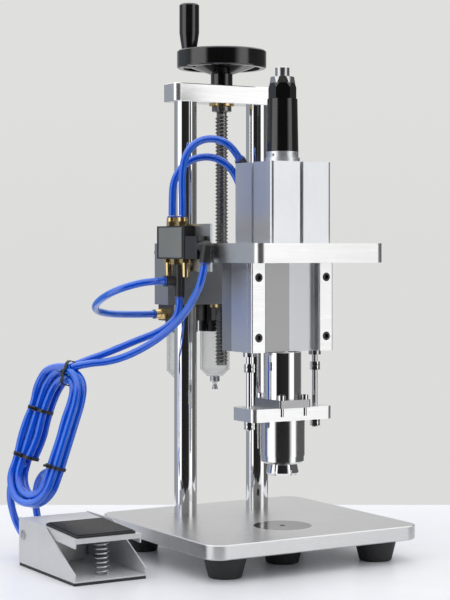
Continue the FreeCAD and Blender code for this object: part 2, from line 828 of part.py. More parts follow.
def guide():
    half = guide_width / 2
    front = -guide_depth / 2
    back = guide_depth / 2
    recess = guide_recess_width / 2
    floor = front + guide_recess_depth
    outline = [(-half, floor), (-recess, floor), (0, floor - guide_ridge), (recess, floor), (half, floor),
               (half, back), (-half, back)]
    body = prism([(x, y, guide_bottom) for x, y in outline], Vector(0, 0, guide_height))
    strips = [block(recess, half, front, front + guide_recess_depth, guide_bottom, arm_bottom,
                    guide_corner_r)]
    strips = mirrored(strips)
    plate = block(-half, half, back, back + mount_plate_thickness, guide_bottom, arm_bottom)
    outer = [e for e in plate.Edges if abs(e.tangentAt(0).z) > 0.99]
    plate = plate.makeChamfer(mount_plate_corner_r, outer)
    body = body.cut(rod(neck_r + running_gap, guide_height, (0, 0, guide_bottom)))
    screws = []
    seat_y = front + guide_screw_head_height
    length = guide_recess_depth - guide_screw_head_height + guide_screw_bite
    for x in (-guide_screw_x, guide_screw_x):
        for z in (guide_bottom + guide_screw_inset, arm_bottom - guide_screw_inset):
            screws.append(cap_screw(guide_screw_head_r, guide_screw_head_height, guide_screw_r, length,
                                    (x, seat_y, z), BACK))
            room = screw_room(guide_screw_head_r, guide_screw_head_height, guide_screw_r, length,
                              (x, seat_y, z), BACK)
            body = body.cut(room)
            strips = [s.cut(room) for s in strips]
    top_screws = []
    for x, y in guide_top_places():
        length = arm_thickness - guide_top_head_height + guide_top_bite
        seat = (x, y, carriage_top_z - guide_top_head_height)
        top_screws.append(cap_screw(guide_top_head_r, guide_top_head_height, guide_top_r, length, seat,
                                    DOWN))
        body = body.cut(guide_top_room(x, y))
        plate = plate.cut(guide_top_room(x, y))
    back_screws = []
    seat_y = back + mount_plate_thickness - back_screw_head_height
    length = mount_plate_thickness - back_screw_head_height + back_screw_bite
    for x in (-back_screw_x, back_screw_x):
        for z in (guide_bottom + guide_screw_inset, arm_bottom - guide_screw_inset * 2):
            seat = (x, seat_y, z)
            back_screws.append(cap_screw(back_screw_head_r, back_screw_head_height, back_screw_r, length,
                                         seat, FRONT))
            room = screw_room(back_screw_head_r, back_screw_head_height, back_screw_r, length, seat, FRONT)
            plate = plate.cut(room)
            body = body.cut(room)
    bushes = []
    for x in (-rod_x, rod_x):
        body = body.cut(rod(rod_bush_sleeve_r + seat_gap, rod_bush_length, (x, 0, guide_bottom)))
        body = body.cut(rod(rod_r + rod_room, rod_channel, (x, 0, guide_bottom)))
        bush = rod(rod_bush_sleeve_r, rod_bush_length, (x, 0, guide_bottom))
        low = guide_bottom - rod_bush_flange_height
        bush = bush.fuse(rod(rod_bush_flange_r, rod_bush_flange_height, (x, 0, low)))
        bushes.append(bush.cut(rod(rod_r + running_gap, rod_bush_length + rod_bush_flange_height,
                                   (x, 0, low))))
    keep("guide_body", body)
    keep("guide_strips", strips)
    keep("carriage_screws", screws)
    keep("carriage_screws", top_screws)
    keep("mounting_plate", plate)
    keep("carriage_screws", back_screws)
    keep("rod_bushes", bushes)


# Ram with its piston, flange, head plate and stop rods
def ram():
    piston_bottom = carriage_top_z + cylinder_floor + piston_lift
    rod_body = rod(ram_r, ram_free_length - ram_top_gap, (0, 0, flange_top))
    rod_body = rod_body.makeChamfer(edge_break,
                                    [e for e in rod_body.Edges if e.CenterOfMass.z > flange_top + 1])
    rod_body = rod_body.fuse(rod(neck_r, piston_bottom - flange_top, (0, 0, flange_top)))
    rod_body = rod_body.fuse(rod(piston_spigot_r, piston_thickness, (0, 0, piston_bottom)))
    piston = rod(cylinder_bore_r - running_gap, piston_thickness, (0, 0, piston_bottom))
    piston = piston.cut(rod(piston_spigot_r + seat_gap, piston_thickness, (0, 0, piston_bottom)))
    groove_bottom = piston_bottom + (piston_thickness - piston_groove_width) / 2
    groove = rod(cylinder_bore_r, piston_groove_width, (0, 0, groove_bottom))
    groove = groove.cut(rod(cylinder_bore_r - piston_groove_depth, piston_groove_width,
                            (0, 0, groove_bottom)))
    seal = rod(cylinder_bore_r - running_gap, piston_groove_width, (0, 0, groove_bottom))
    seal = seal.cut(rod(cylinder_bore_r - piston_groove_depth, piston_groove_width, (0, 0, groove_bottom)))
    flange = block(-flange_width / 2, flange_width / 2, -flange_depth / 2, flange_depth / 2,
                   head_top, flange_top, flange_corner_r)
    plate = block(-head_width / 2, head_width / 2, -head_depth / 2, head_depth / 2,
                  head_bottom, head_top, head_corner_r)
    plate = plate.cut(rod(bell_spigot_r + seat_gap, bell_spigot_height, (0, 0, head_bottom)))
    screws = []
    length = flange_thickness + flange_screw_bite
    for x in (-flange_screw_x, flange_screw_x):
        for y in (-flange_screw_y, flange_screw_y):
            seat = (x, y, flange_top)
            screws.append(cap_screw(flange_screw_head_r, flange_screw_head_height, flange_screw_r,
                                    length, seat, DOWN))
            hole = rod(flange_screw_r + seat_gap, length + seat_gap, seat, DOWN)
            flange = flange.cut(hole)
            plate = plate.cut(hole)
    rods = []
    nuts = []
    for x in (-rod_x, rod_x):
        low = head_bottom - rod_below_head
        rods.append(rod(rod_r, rod_below_head + rod_above_head, (x, 0, low)))
        plate = plate.cut(rod(rod_r + seat_gap, head_thickness, (x, 0, head_bottom)))
        under = head_bottom - rod_nut_height
        levels = (under, under - rod_nut_height, head_top + rod_nut_lift,
                  head_top + rod_nut_lift + rod_nut_height)
        for z in levels:
            nut = hexagon(rod_nut_across_flats, rod_nut_height, (x, 0, z))
            nut = nut.common(taper(rod_nut_across_flats * 0.57, rod_nut_across_flats * 0.54,
                                   rod_nut_height, (x, 0, z)))
            nuts.append(nut.cut(rod(rod_r + seat_gap, rod_nut_height, (x, 0, z))))
    keep("ram_rod", rod_body)
    keep("piston", [piston.cut(groove), seal])
    keep("ram_flange", flange)
    keep("stop_rods", screws)
    keep("head_plate", plate)
    keep("stop_rods", rods)
    keep("stop_rods", nuts)


# Crimping head: bell, jaw ring with its pins, six jaws, plunger and its spring
def crimping_head():
    roof = bell_bottom + bell_height - bell_roof
    outline = [(bell_bore_r, 0), (bell_r - bell_step - bell_chamfer, 0), (bell_r - bell_step, bell_chamfer),
               (bell_r - bell_step, bell_step_height), (bell_r, bell_step_height), (bell_r, bell_height),
               (bell_spigot_r, bell_height), (bell_spigot_r, bell_height + bell_spigot_height),
               (plunger_stem_r + running_gap, bell_height + bell_spigot_height),
               (plunger_stem_r + running_gap, bell_height - bell_roof), (bell_bore_r,
                                                                         bell_height - bell_roof)]
    keep("bell", turned(outline, (0, 0, bell_bottom)))
    ring = rod(bell_bore_r, roof - bell_bottom - jaw_ring_bottom, (0, 0, bell_bottom + jaw_ring_bottom))
    ring = ring.cut(rod(jaw_ring_inner_r, bell_height, (0, 0, bell_bottom)))
    pins = []
    pocket_half = jaw_block_width / 2 + slip_gap
    pocket_top = roof - jaw_ring_web
    pin_z = bell_bottom + jaw_pin_height
    for k in range(jaw_count):
        turn = 360 * k / jaw_count
        pocket = block(0, bell_bore_r + 1, -pocket_half, pocket_half, bell_bottom, pocket_top)
        pocket.rotate(Vector(0, 0, 0), UP, turn)
        pin = rod(jaw_pin_r, jaw_pin_length, (jaw_pin_radius, -jaw_pin_length / 2, pin_z), BACK)
        seat = rod(jaw_pin_r + seat_gap, jaw_pin_length, (jaw_pin_radius, -jaw_pin_length / 2, pin_z), BACK)
        pin.rotate(Vector(0, 0, 0), UP, turn)
        seat.rotate(Vector(0, 0, 0), UP, turn)
        ring = ring.cut(pocket).cut(seat)
        pins.append(pin)
    keep("jaw_ring", ring)
    keep("jaw_ring", pins)
    foot = -jaw_below_bell
    sole = foot + jaw_foot_height
    outline = [(jaw_mouth_r, foot), (jaw_flare_r - 1.3, foot), (jaw_flare_r, sole), (jaw_waist_r, 0),
               (jaw_waist_r, jaw_body_top), (jaw_relief_r, jaw_body_top), (jaw_relief_r, sole + 1.6),
               (jaw_lip_r, sole + 0.6), (jaw_lip_r, sole - 0.6)]
    crown = turned(outline, (0, 0, bell_bottom))
    for k in range(jaw_count):
        turn = 180 * (2 * k + 1) / jaw_count
        slit = block(0, bell_r, -jaw_slit / 2, jaw_slit / 2, bell_bottom + foot - 1, roof)
        slit.rotate(Vector(0, 0, 0), UP, turn)
        crown = crown.cut(slit)
    blank = block(jaw_block_inner_r, jaw_block_outer_r, -jaw_block_width / 2, jaw_block_width / 2,
                  bell_bottom + jaw_body_top - 2, bell_bottom + jaw_block_top)
    blank = blank.cut(rod(jaw_pin_r + running_gap, jaw_block_width,
                          (jaw_pin_radius, -jaw_block_width / 2, pin_z), BACK))
    for k in range(jaw_count):
        way = Vector(1, 0, 0)
        way = FreeCAD.Rotation(UP, 360 * k / jaw_count).multVec(way)
        segment = max(crown.Solids, key=lambda s: s.CenterOfMass.dot(way))
        lug = blank.copy()
        lug.rotate(Vector(0, 0, 0), UP, 360 * k / jaw_count)
        keep("jaw_%d" % (k + 1), segment.fuse(lug))
    head_z = bell_bottom + plunger_lift
    plunger = rod(plunger_r, plunger_thickness, (0, 0, head_z))
    plunger = plunger.makeChamfer(0.8, [e for e in plunger.Edges if e.CenterOfMass.z < head_z + 0.1])
    plunger = plunger.fuse(rod(plunger_stem_r, plunger_stem_length, (0, 0, head_z + plunger_thickness)))
    keep("plunger", plunger)
    spring_bottom = head_z + plunger_thickness + plunger_spring_wire_r
    spring_height = roof - plunger_spring_wire_r - spring_bottom
    keep("plunger_spring", coil(plunger_spring_r, plunger_spring_wire_r, plunger_spring_turns,
                                (0, 0, spring_bottom), spring_height))


# Push-in elbow: stem into the face, round hub along the face's normal, arm, and its release ring
def elbow(face, normal, arm_way, hub_length):
    centre = Vector(*face) + normal * (hub_length - elbow_arm_r)
    body = rod(elbow_hub_r, hub_length - elbow_arm_r, face, normal)
    body = body.fuse(Part.makeSphere(elbow_arm_r, centre))
    body = body.fuse(rod(elbow_arm_r, elbow_arm_length, tuple(centre), arm_way))
    body = body.fuse(rod(elbow_stem_r, elbow_stem_length,
                         tuple(Vector(*face) - normal * elbow_stem_length), normal))
    mouth = centre + arm_way * elbow_arm_length
    ring = rod(collet_r, collet_height, tuple(mouth), arm_way)
    return body, ring, mouth + arm_way * collet_height


# Air valve on its side plate, with fittings, silencers, tee and pilot elbow
def valve_left():
    return -arm_width / 2 - side_plate_thickness - valve_thickness


def plate_screw_places():
    middle = side_plate_front + side_plate_length / 2
    return [(middle + side * plate_screw_pitch / 2, arm_bottom + plate_screw_rise) for side in (-1, 1)]


def plate_screw_room(y, z):
    seat = (-arm_width / 2 - side_plate_thickness, y, z)
    return flat_screw(plate_screw_head_r, flat_head_height, plate_screw_r,
                      side_plate_thickness + plate_screw_bite, seat, RIGHT, seat_gap)


def air_valve():
    face = -arm_width / 2
    left = valve_left()
    right = left + valve_thickness
    middle = (left + right) / 2
    top = carriage_top_z + side_plate_rise
    back = valve_front + valve_length
    low = carriage_top_z - valve_drop
    high = low + valve_height
    plate = block(face - side_plate_thickness, face, side_plate_front, side_plate_front + side_plate_length,
                  top - side_plate_height, top)
    screws = []
    for y, z in plate_screw_places():
        seat = (face - side_plate_thickness, y, z)
        screws.append(flat_screw(plate_screw_head_r, flat_head_height, plate_screw_r,
                                 side_plate_thickness + plate_screw_bite, seat, RIGHT))
        plate = plate.cut(plate_screw_room(y, z))
    body = block(left, right, valve_front + valve_front_cap, back - valve_back_cap, low, high)
    label = block(left - label_plate_thickness, left, valve_front + valve_front_cap + label_plate_margin,
                  back - valve_back_cap - label_plate_margin,
                  low + label_plate_margin, high - label_plate_margin)
    caps = [block(left, right, valve_front, valve_front + valve_front_cap, low, high),
            block(left, right, back - valve_back_cap, back, low, high)]
    pilot = block(left, right, valve_front - pilot_length, valve_front, low, low + pilot_height,
                  pilot_round)
    fittings = []
    rings = []
    for y in (port_centre - outlet_half_pitch, port_centre + outlet_half_pitch):
        neck = rod(port_fitting_r, port_fitting_height * 0.45,
                   (middle, y, high + port_fitting_height * 0.55))
        nut = hexagon(port_fitting_r * 1.8, port_fitting_height * 0.55, (middle, y, high))
        fittings.append(nut.fuse(neck))
        rings.append(rod(collet_r, collet_height, (middle, y, high + port_fitting_height)))
    silencers = []
    for y in (port_centre - port_pitch, port_centre + port_pitch):
        nut = hexagon(silencer_nut_across_flats, silencer_nut_height,
                      (middle, y, low - silencer_nut_height))
        cone = taper(silencer_tip_r, silencer_r, silencer_height,
                     (middle, y, low - silencer_nut_height - silencer_height))
        silencers.append(nut.fuse(cone))
    nut = hexagon(tee_nut_across_flats, tee_nut_height, (middle, port_centre, low - tee_nut_height))
    run_y = port_centre - tee_run_offset
    tee_top = low - tee_nut_height
    branch_z = low - tee_branch_drop
    tee = rod(tee_run_r, tee_run_length, (middle, run_y, tee_top), DOWN)
    tee = tee.fuse(rod(tee_branch_r, tee_branch_length, (middle, port_centre, branch_z), LEFT))
    tee = tee.fuse(rod(tee_run_r, tee_branch_drop - tee_nut_height, (middle, port_centre, tee_top), DOWN))
    tee = tee.fuse(rod(tee_branch_r, tee_run_offset, (middle, run_y, branch_z), BACK))
    rings.append(rod(collet_r, collet_height, (middle, run_y, tee_top - tee_run_length), DOWN))
    rings.append(rod(collet_r, collet_height, (middle - tee_branch_length, port_centre, branch_z), LEFT))
    pilot_face = (middle, valve_front - pilot_length, low + pilot_height * 0.55)
    pilot = pilot.cut(rod(elbow_stem_r + seat_gap, elbow_stem_length, pilot_face, BACK))
    arm_way = Vector(-0.16, 0, -1)
    arm_way.normalize()
    pilot_elbow, ring, mouth = elbow(pilot_face, FRONT, arm_way, elbow_hub_length)
    rings.append(ring)
    elbows = []
    for (x, z), angle in zip(elbow_places(), (upper_elbow_lean, lower_elbow_lean)):
        lean = math.radians(angle)
        arm_way = Vector(-math.sin(lean), 0, math.cos(lean))
        piece, ring, mouth = elbow((x, cylinder_width / 2, z), BACK, arm_way, back_elbow_hub_length)
        elbows.append(piece)
        rings.append(ring)
    keep("mount_brackets", plate)
    keep("carriage_screws", screws)
    keep("valve_body", body)
    keep("valve_caps", caps)
    keep("valve_body", label)
    keep("valve_caps", pilot)
    keep("brass_fittings", fittings)
    keep("brass_fittings", silencers)
    keep("brass_fittings", nut)
    keep("hose_elbows", tee)
    keep("hose_elbows", pilot_elbow)
    keep("hose_elbows", elbows)
    return rings


# Air preparation unit: two bodies with clear bowls, a regulator knob, a drain and a bracket
def air_prep():
    body_low = carriage_top_z - prep_body_drop
    body_high = body_low + prep_body_height
    port_z = body_low + prep_body_height * 0.32
    bodies = []
    bowls = []
    for x in (-prep_pitch / 2, prep_pitch / 2):
        body = block(x - prep_body_width / 2, x + prep_body_width / 2, prep_offset - prep_body_depth / 2,
                     prep_offset + prep_body_depth / 2, body_low, body_high, prep_body_corner_r)
        bodies.append(body.fuse(rod(prep_collar_r, prep_collar_height, (x, prep_offset, body_low), DOWN)))
        bowl_top = -prep_collar_height
        floor = bowl_top - bowl_length
        shoulder = floor + bowl_r - bowl_bottom_r
        outline = [(0, floor), (bowl_bottom_r, floor), (bowl_r, shoulder), (bowl_r, bowl_top),
                   (bowl_r - bowl_wall, bowl_top), (bowl_r - bowl_wall, shoulder + bowl_wall / 2),
                   (bowl_bottom_r - bowl_wall / 2, floor + bowl_wall), (0, floor + bowl_wall)]
        bowls.append(turned(outline, (x, prep_offset, body_low)))
    right = prep_pitch / 2
    left = -prep_pitch / 2
    drain_top = body_low - prep_collar_height - bowl_length
    drain = rod(drain_r, drain_height, (right, prep_offset, drain_top), DOWN)
    cock = turned([(0, 0), (drain_cock_r, 0), (drain_cock_r * 0.6, -drain_cock_height * 0.4),
                   (drain_cock_r, -drain_cock_height), (0, -drain_cock_height)],
                  (right, prep_offset, drain_top - drain_height))
    left_drain = rod(drain_r, drain_height, (left, prep_offset, drain_top), DOWN)
    bonnet = rod(bonnet_r, bonnet_height, (right, prep_offset, body_high))
    stem = rod(bonnet_stem_r, prep_knob_height * 0.6, (right, prep_offset, body_high + bonnet_height))
    bonnet = bonnet.fuse(stem)
    knob_low = body_high + bonnet_height + slip_gap
    knob = taper(prep_knob_r, prep_knob_r - 1.5, prep_knob_height, (right, prep_offset, knob_low))
    knob = knob.cut(rod(bonnet_stem_r + running_gap, prep_knob_height * 0.6 + slip_gap,
                        (right, prep_offset, knob_low)))
    for k in range(prep_knob_grooves):
        turn = 2 * math.pi * k / prep_knob_grooves
        x = right + prep_knob_r * math.cos(turn)
        y = prep_offset + prep_knob_r * math.sin(turn)
        knob = knob.cut(rod(prep_knob_groove_r, prep_knob_height, (x, y, knob_low)))
    dome = rod(oil_dome_r, oil_dome_height, (left, prep_offset, body_high))
    dome = dome.makeFillet(oil_dome_r * 0.3, [e for e in dome.Edges if e.CenterOfMass.z > body_high + 1])
    outer = prep_pitch / 2 + prep_body_width / 2
    bodies[1] = bodies[1].cut(rod(inlet_r, inlet_depth, (outer, prep_offset, port_z), LEFT))
    outlet = hexagon(outlet_fitting_r * 1.8, outlet_fitting_length * 0.55, (-outer, prep_offset, port_z),
                     LEFT)
    outlet = outlet.fuse(rod(outlet_fitting_r * 0.85, outlet_fitting_length,
                             (-outer, prep_offset, port_z), LEFT))
    ring = rod(collet_r, collet_height, (-outer - outlet_fitting_length, prep_offset, port_z), LEFT)
    half = prep_bracket_width / 2
    front = prep_offset - prep_body_depth / 2
    low = body_high - 2
    bracket = block(-half, half, carriage_back, carriage_back + prep_bracket_thickness, low,
                    low + prep_bracket_height)
    shelf_low = body_high
    shelf = block(-half, half, carriage_back, prep_offset - prep_bracket_clear, shelf_low,
                  shelf_low + prep_bracket_thickness)
    bracket = bracket.fuse(shelf)
    screws = []
    for x in (-half + 7, half - 7):
        seat = (x, carriage_back + prep_bracket_thickness, low + prep_bracket_height - 8)
        length = prep_bracket_thickness + bracket_screw_bite
        screws.append(cap_screw(plate_screw_head_r, plate_screw_head_height, plate_screw_r, length, seat,
                                FRONT))
        bracket = bracket.cut(rod(plate_screw_r + seat_gap, length, seat, FRONT))
        nodes["carriage_block"] = [nodes["carriage_block"][0].cut(rod(plate_screw_r + seat_gap,
                                                                      length + seat_gap, seat, FRONT))]
    keep("prep_bodies", bodies)
    keep("prep_bowls", bowls)
    keep("bowl_drains", [drain, left_drain])
    keep("bowl_drains", cock)
    keep("prep_bodies", bonnet)
    keep("regulator_knob", knob)
    keep("prep_bowls", dome)
    keep("brass_fittings", outlet)
    keep("mount_brackets", bracket)
    keep("carriage_screws", screws)
    return ring


# Foot pedal: case on its mat, tread with its pad on a pin, spring and foot valve
def pedal():
    left = -pedal_left
    right = left + pedal_width
    front = -pedal_front
    back = front + pedal_length
    floor = pedal_mat_thickness
    top = floor + pedal_height
    mat = block(left, right, front, back, 0, pedal_mat_thickness, 2.0)
    slant_y = back - pedal_flat_top
    outline = [(left, front, floor), (left, back, floor), (left, back, top), (left, slant_y, top),
               (left, front, floor + pedal_front_height)]
    side = prism(outline, Vector(pedal_sheet, 0, 0))
    other = side.copy()
    other.translate(Vector(pedal_width - pedal_sheet, 0, 0))
    case = side.fuse([other, block(left, right, front, back, floor, floor + pedal_sheet),
                      block(left, right, back - pedal_sheet, back, floor, floor + pedal_back_height)])
    for x in (left + pedal_width * 0.3, left + pedal_width * 0.7):
        slot = block(x - pedal_slot_length / 2, x + pedal_slot_length / 2, front + pedal_slot_inset,
                     front + pedal_slot_inset + pedal_slot_width, floor - 1, floor + pedal_sheet + 1)
        case = case.cut(slot)
    pivot_y = back - pivot_from_back
    pin = rod(pivot_r, pedal_width, (left, pivot_y, pivot_height), RIGHT)
    pin = pin.fuse([rod(pivot_head_r, pivot_head_height, (left, pivot_y, pivot_height), LEFT),
                    rod(pivot_head_r, pivot_head_height, (right, pivot_y, pivot_height), RIGHT)])
    case = case.cut(rod(pivot_r + seat_gap, pedal_width, (left, pivot_y, pivot_height), RIGHT))
    x0 = left + pedal_sheet + tread_play
    x1 = right - pedal_sheet - tread_play
    y1 = pivot_y + tread_behind_pin
    y0 = y1 - tread_length
    z1 = pivot_height + tread_height
    sheet = block(x0, x1, y0, y1, z1 - tread_sheet, z1)
    flanges = [block(x, x + tread_sheet, y0, y1, z1 - tread_flange, z1) for x in (x0, x1 - tread_sheet)]
    lip = block(x0, x1, y0, y0 + tread_sheet, z1 - tread_flange / 2, z1)
    ears = []
    for x in (x0, x1 - tread_sheet):
        ear = rod(tread_ear_r, tread_sheet, (x, pivot_y, pivot_height), RIGHT)
        web = block(x, x + tread_sheet, pivot_y - tread_ear_r, pivot_y + tread_ear_r, pivot_height, z1)
        ears.append(ear.fuse(web))
    tread = sheet.fuse(flanges + [lip] + ears)
    tread = tread.cut(rod(pivot_r + running_gap, pedal_width, (left, pivot_y, pivot_height), RIGHT))
    pad = block(x0 + pad_margin, x1 - pad_margin, y0 + pad_front_margin, y0 + pad_front_margin + pad_length,
                z1, z1 + pad_thickness, 1.5)
    pivot = Vector(0, pivot_y, pivot_height)
    for piece in (tread, pad):
        piece.rotate(pivot, RIGHT, tread_tilt)
    spring_y = front + pedal_spring_from_front
    spring_low = floor + pedal_sheet + pedal_spring_wire_r
    lean = math.radians(tread_tilt)
    reach = pivot_y - spring_y + pedal_spring_r
    ceiling = pivot_height + (tread_height - tread_sheet) * math.cos(lean) - reach * math.sin(lean)
    spring_high = ceiling - pedal_spring_gap - pedal_spring_wire_r
    spring = coil(pedal_spring_r, pedal_spring_wire_r, pedal_spring_turns,
                  (left + pedal_width / 2, spring_y, spring_low), spring_high - spring_low)
    middle = left + pedal_width / 2
    valve_back = back - pedal_sheet
    valve = block(middle - pedal_valve_width / 2, middle + pedal_valve_width / 2,
                  valve_back - pedal_valve_length,
                  valve_back, floor + pedal_sheet, floor + pedal_sheet + pedal_valve_height)
    fittings = []
    rings = []
    for side in (-0.5, 0.5):
        x = middle + side * pedal_fitting_pitch
        case = case.cut(rod(pedal_fitting_r + seat_gap, pedal_fitting_length,
                            (x, valve_back, pedal_fitting_height), BACK))
        fittings.append(rod(pedal_fitting_r, pedal_sheet + pedal_fitting_length,
                            (x, valve_back, pedal_fitting_height), BACK))
        rings.append(rod(collet_r, collet_height, (x, back + pedal_fitting_length, pedal_fitting_height),
                         BACK))
    keep("rubber_feet", mat)
    keep("pedal_case", case)
    keep("frame_fasteners", pin)
    keep("pedal_tread", tread)
    keep("tread_pad", pad)
    keep("pedal_spring", spring)
    keep("pedal_valve", [valve] + fittings)
    keep("pedal_valve", rings)


# Hoses: two from the carriage to the hank, two tails to the pedal, and three short ones on the carriage
signal_route = [(-89.8, 9.0, 314.0), (-92.6, 9.9, 296.3), (-93.7, 22.8, 280.5), (-96.1, 34.5, 266.4),
                (-100.6, 47.1, 253.6), (-107.3, 59.8, 242.0), (-116.1, 72.3, 231.7),
                (-126.8, 84.3, 222.5), (-139.4, 95.5, 214.9), (-154.1, 105.5, 210.1),
                (-170.9, 114.4, 208.8), (-186.9, 122.7, 204.7)]
supply_route = [(-86.8, 67.0, 277.5), (-86.8, 67.0, 261.9), (-94.9, 75.1, 248.6),
                (-106.4, 82.8, 240.7), (-119.0, 91.0, 235.0), (-131.3, 99.3, 229.0),
                (-143.5, 107.6, 222.7), (-155.9, 115.9, 216.8), (-169.1, 124.4, 211.5),
                (-182.3, 131.4, 205.2)]
signal_tail = [(-195.0, 142.2, 15.0), (-195.0, 157.0, 15.0), (-197.2, 171.3, 21.5),
               (-198.6, 180.9, 33.0), (-200.2, 184.3, 47.7), (-201.0, 183.7, 62.9),
               (-200.7, 178.8, 77.2), (-199.4, 168.2, 87.8), (-197.7, 153.3, 92.1),
               (-196.2, 138.6, 92.4)]
supply_tail = [(-215.0, 142.2, 15.0), (-215.0, 158.1, 15.0), (-219.0, 173.7, 20.4),
               (-223.7, 182.2, 33.1), (-228.0, 184.9, 48.6), (-230.9, 184.2, 64.6),
               (-231.0, 179.5, 80.2), (-229.2, 168.4, 92.6), (-225.2, 157.2, 103.0)]
link_route = [(-103.9, 72.0, 296.2), (-121.1, 72.3, 296.2), (-137.1, 81.7, 292.0),
              (-148.2, 94.2, 286.6), (-153.3, 109.8, 280.2), (-153.5, 126.3, 274.0),
              (-149.4, 142.6, 268.4), (-140.9, 157.3, 263.7), (-127.9, 168.7, 260.1),
              (-111.6, 175.0, 258.0), (-94.1, 177.6, 257.1), (-75.9, 178.0, 256.7),
              (-58.7, 178.0, 256.7)]


long_arc = [(-86.8, 61.0, 365.8), (-86.8, 60.5, 380.8), (-87.7, 60.2, 396.8), (-87.4, 59.7, 412.3),
            (-85.2, 59.0, 427.5), (-77.3, 56.9, 440.5), (-64.2, 53.3, 447.5), (-49.4, 49.2, 447.4),
            (-35.5, 44.5, 440.2), (-26.8, 44.5, 427.9)]
short_arc = [(-86.8, 83.0, 365.8), (-86.8, 83.0, 383.6), (-85.9, 82.5, 402.2), (-78.6, 78.3, 418.3),
             (-65.4, 70.8, 428.1), (-49.7, 61.8, 429.4), (-35.5, 53.7, 421.6), (-26.5, 48.7, 406.7),
             (-22.4, 44.5, 388.7), (-19.4, 44.5, 371.2)]


def hank():
    bottom = Vector(*hank_bottom)
    top = Vector(*hank_top)
    along = top - bottom
    length = along.Length
    outer_r = hank_width / 2
    inner_r = outer_r - hank_band
    run = length - hank_width
    ends = [Vector(0, 0, -run / 2), Vector(0, 0, run / 2)]

    def stadium(radius):
        discs = [Part.makeCylinder(radius, hank_thickness, e - BACK * hank_thickness / 2,
                                   BACK) for e in ends]
        middle = Part.makeBox(2 * radius, hank_thickness, run,
                              Vector(-radius, -hank_thickness / 2, -run / 2))
        return discs[0].fuse([discs[1], middle]).removeSplitter()

    ring = stadium(outer_r).cut(stadium(inner_r))
    ring = ring.makeFillet(hank_round, ring.Edges)
    facing = Vector(*hank_facing)
    z_way = along
    z_way.normalize()
    x_way = facing.cross(z_way)
    x_way.normalize()
    y_way = z_way.cross(x_way)
    turn = FreeCAD.Rotation(x_way, y_way, z_way, "ZXY")
    ring.Placement = FreeCAD.Placement((top + bottom) * 0.5, turn)
    keep("hose_hank", ring)
    for share in tie_shares:
        for side in (-1, 1):
            middle = side * (outer_r + inner_r) / 2
            level = share * run / 2
            band = block(middle - hank_band / 2 - tie_wall, middle + hank_band / 2 + tie_wall,
                         -hank_thickness / 2 - tie_wall, hank_thickness / 2 + tie_wall,
                         level - tie_width / 2, level + tie_width / 2, hank_round)
            hole = block(middle - hank_band / 2 - seat_gap, middle + hank_band / 2 + seat_gap,
                         -hank_thickness / 2 - seat_gap, hank_thickness / 2 + seat_gap,
                         level - tie_width, level + tie_width, hank_round)
            band = band.cut(hole)
            band.Placement = ring.Placement
            keep("hose_ties", band)


def hoses():
    hank()
    routes = {"signal_hose": signal_route, "supply_hose": supply_route,
              "tail_hose_1": signal_tail, "tail_hose_2": supply_tail, "link_hose": link_route,
              "long_arc_hose": long_arc, "short_arc_hose": short_arc}
    for name, path in routes.items():
        solid, length, least_r = tube(path, hose_r)
        volume = math.pi * hose_r ** 2 * length
        print(name, "length %.1f" % length, "least bend radius %.1f" % least_r,
              "volume %.3f of section x length" % (solid.Volume / volume))
        keep(name, solid)


base()
frame()
handwheel()
carriage()
upper_cylinder()
guide()
ram()
crimping_head()
keep("release_rings", air_valve() + [air_prep()])
pedal()
hoses()

os.makedirs("parts", exist_ok=True)
for name, solids in nodes.items():
    shape = solids[0] if len(solids) == 1 else Part.makeCompound(solids)
    shape.exportStep("parts/" + name + ".step")
print(len(nodes), "nodes")
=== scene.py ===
import math

import bpy
from mathutils import Matrix, Vector


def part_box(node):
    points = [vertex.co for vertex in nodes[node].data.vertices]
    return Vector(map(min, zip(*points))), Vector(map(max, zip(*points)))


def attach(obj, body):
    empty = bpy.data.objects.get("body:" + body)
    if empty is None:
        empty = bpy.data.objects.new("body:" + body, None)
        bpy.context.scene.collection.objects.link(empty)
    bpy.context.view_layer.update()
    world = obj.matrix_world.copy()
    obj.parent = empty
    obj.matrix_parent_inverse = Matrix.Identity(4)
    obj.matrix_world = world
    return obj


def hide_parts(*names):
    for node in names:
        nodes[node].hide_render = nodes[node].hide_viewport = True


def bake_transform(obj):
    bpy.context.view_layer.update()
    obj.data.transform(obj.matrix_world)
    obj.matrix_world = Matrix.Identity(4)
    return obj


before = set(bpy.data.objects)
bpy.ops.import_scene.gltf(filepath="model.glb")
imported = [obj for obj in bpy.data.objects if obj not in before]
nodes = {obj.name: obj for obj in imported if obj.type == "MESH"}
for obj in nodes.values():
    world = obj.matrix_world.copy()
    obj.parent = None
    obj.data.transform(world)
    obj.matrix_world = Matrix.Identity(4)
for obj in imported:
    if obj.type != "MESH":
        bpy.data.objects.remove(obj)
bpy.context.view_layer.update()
scene = bpy.context.scene

# Camera: level, 1.78 m in front of the press and a third of a metre up, as the photograph was taken
PICTURE_HEIGHT = 600
SENSOR_HEIGHT = 36
FOCAL_PIXELS = 1690.155
HORIZON_PIXEL = 246.904
RIGHT = Vector((0.8589, -0.5122, 0.0))
AHEAD = Vector((0.5122, 0.8589, 0.0))
UP = Vector((0.0, 0.0, 1.0))
CAMERA_BACK = 1.783401
CAMERA_LEFT = 0.060558
CAMERA_HEIGHT = 0.3325


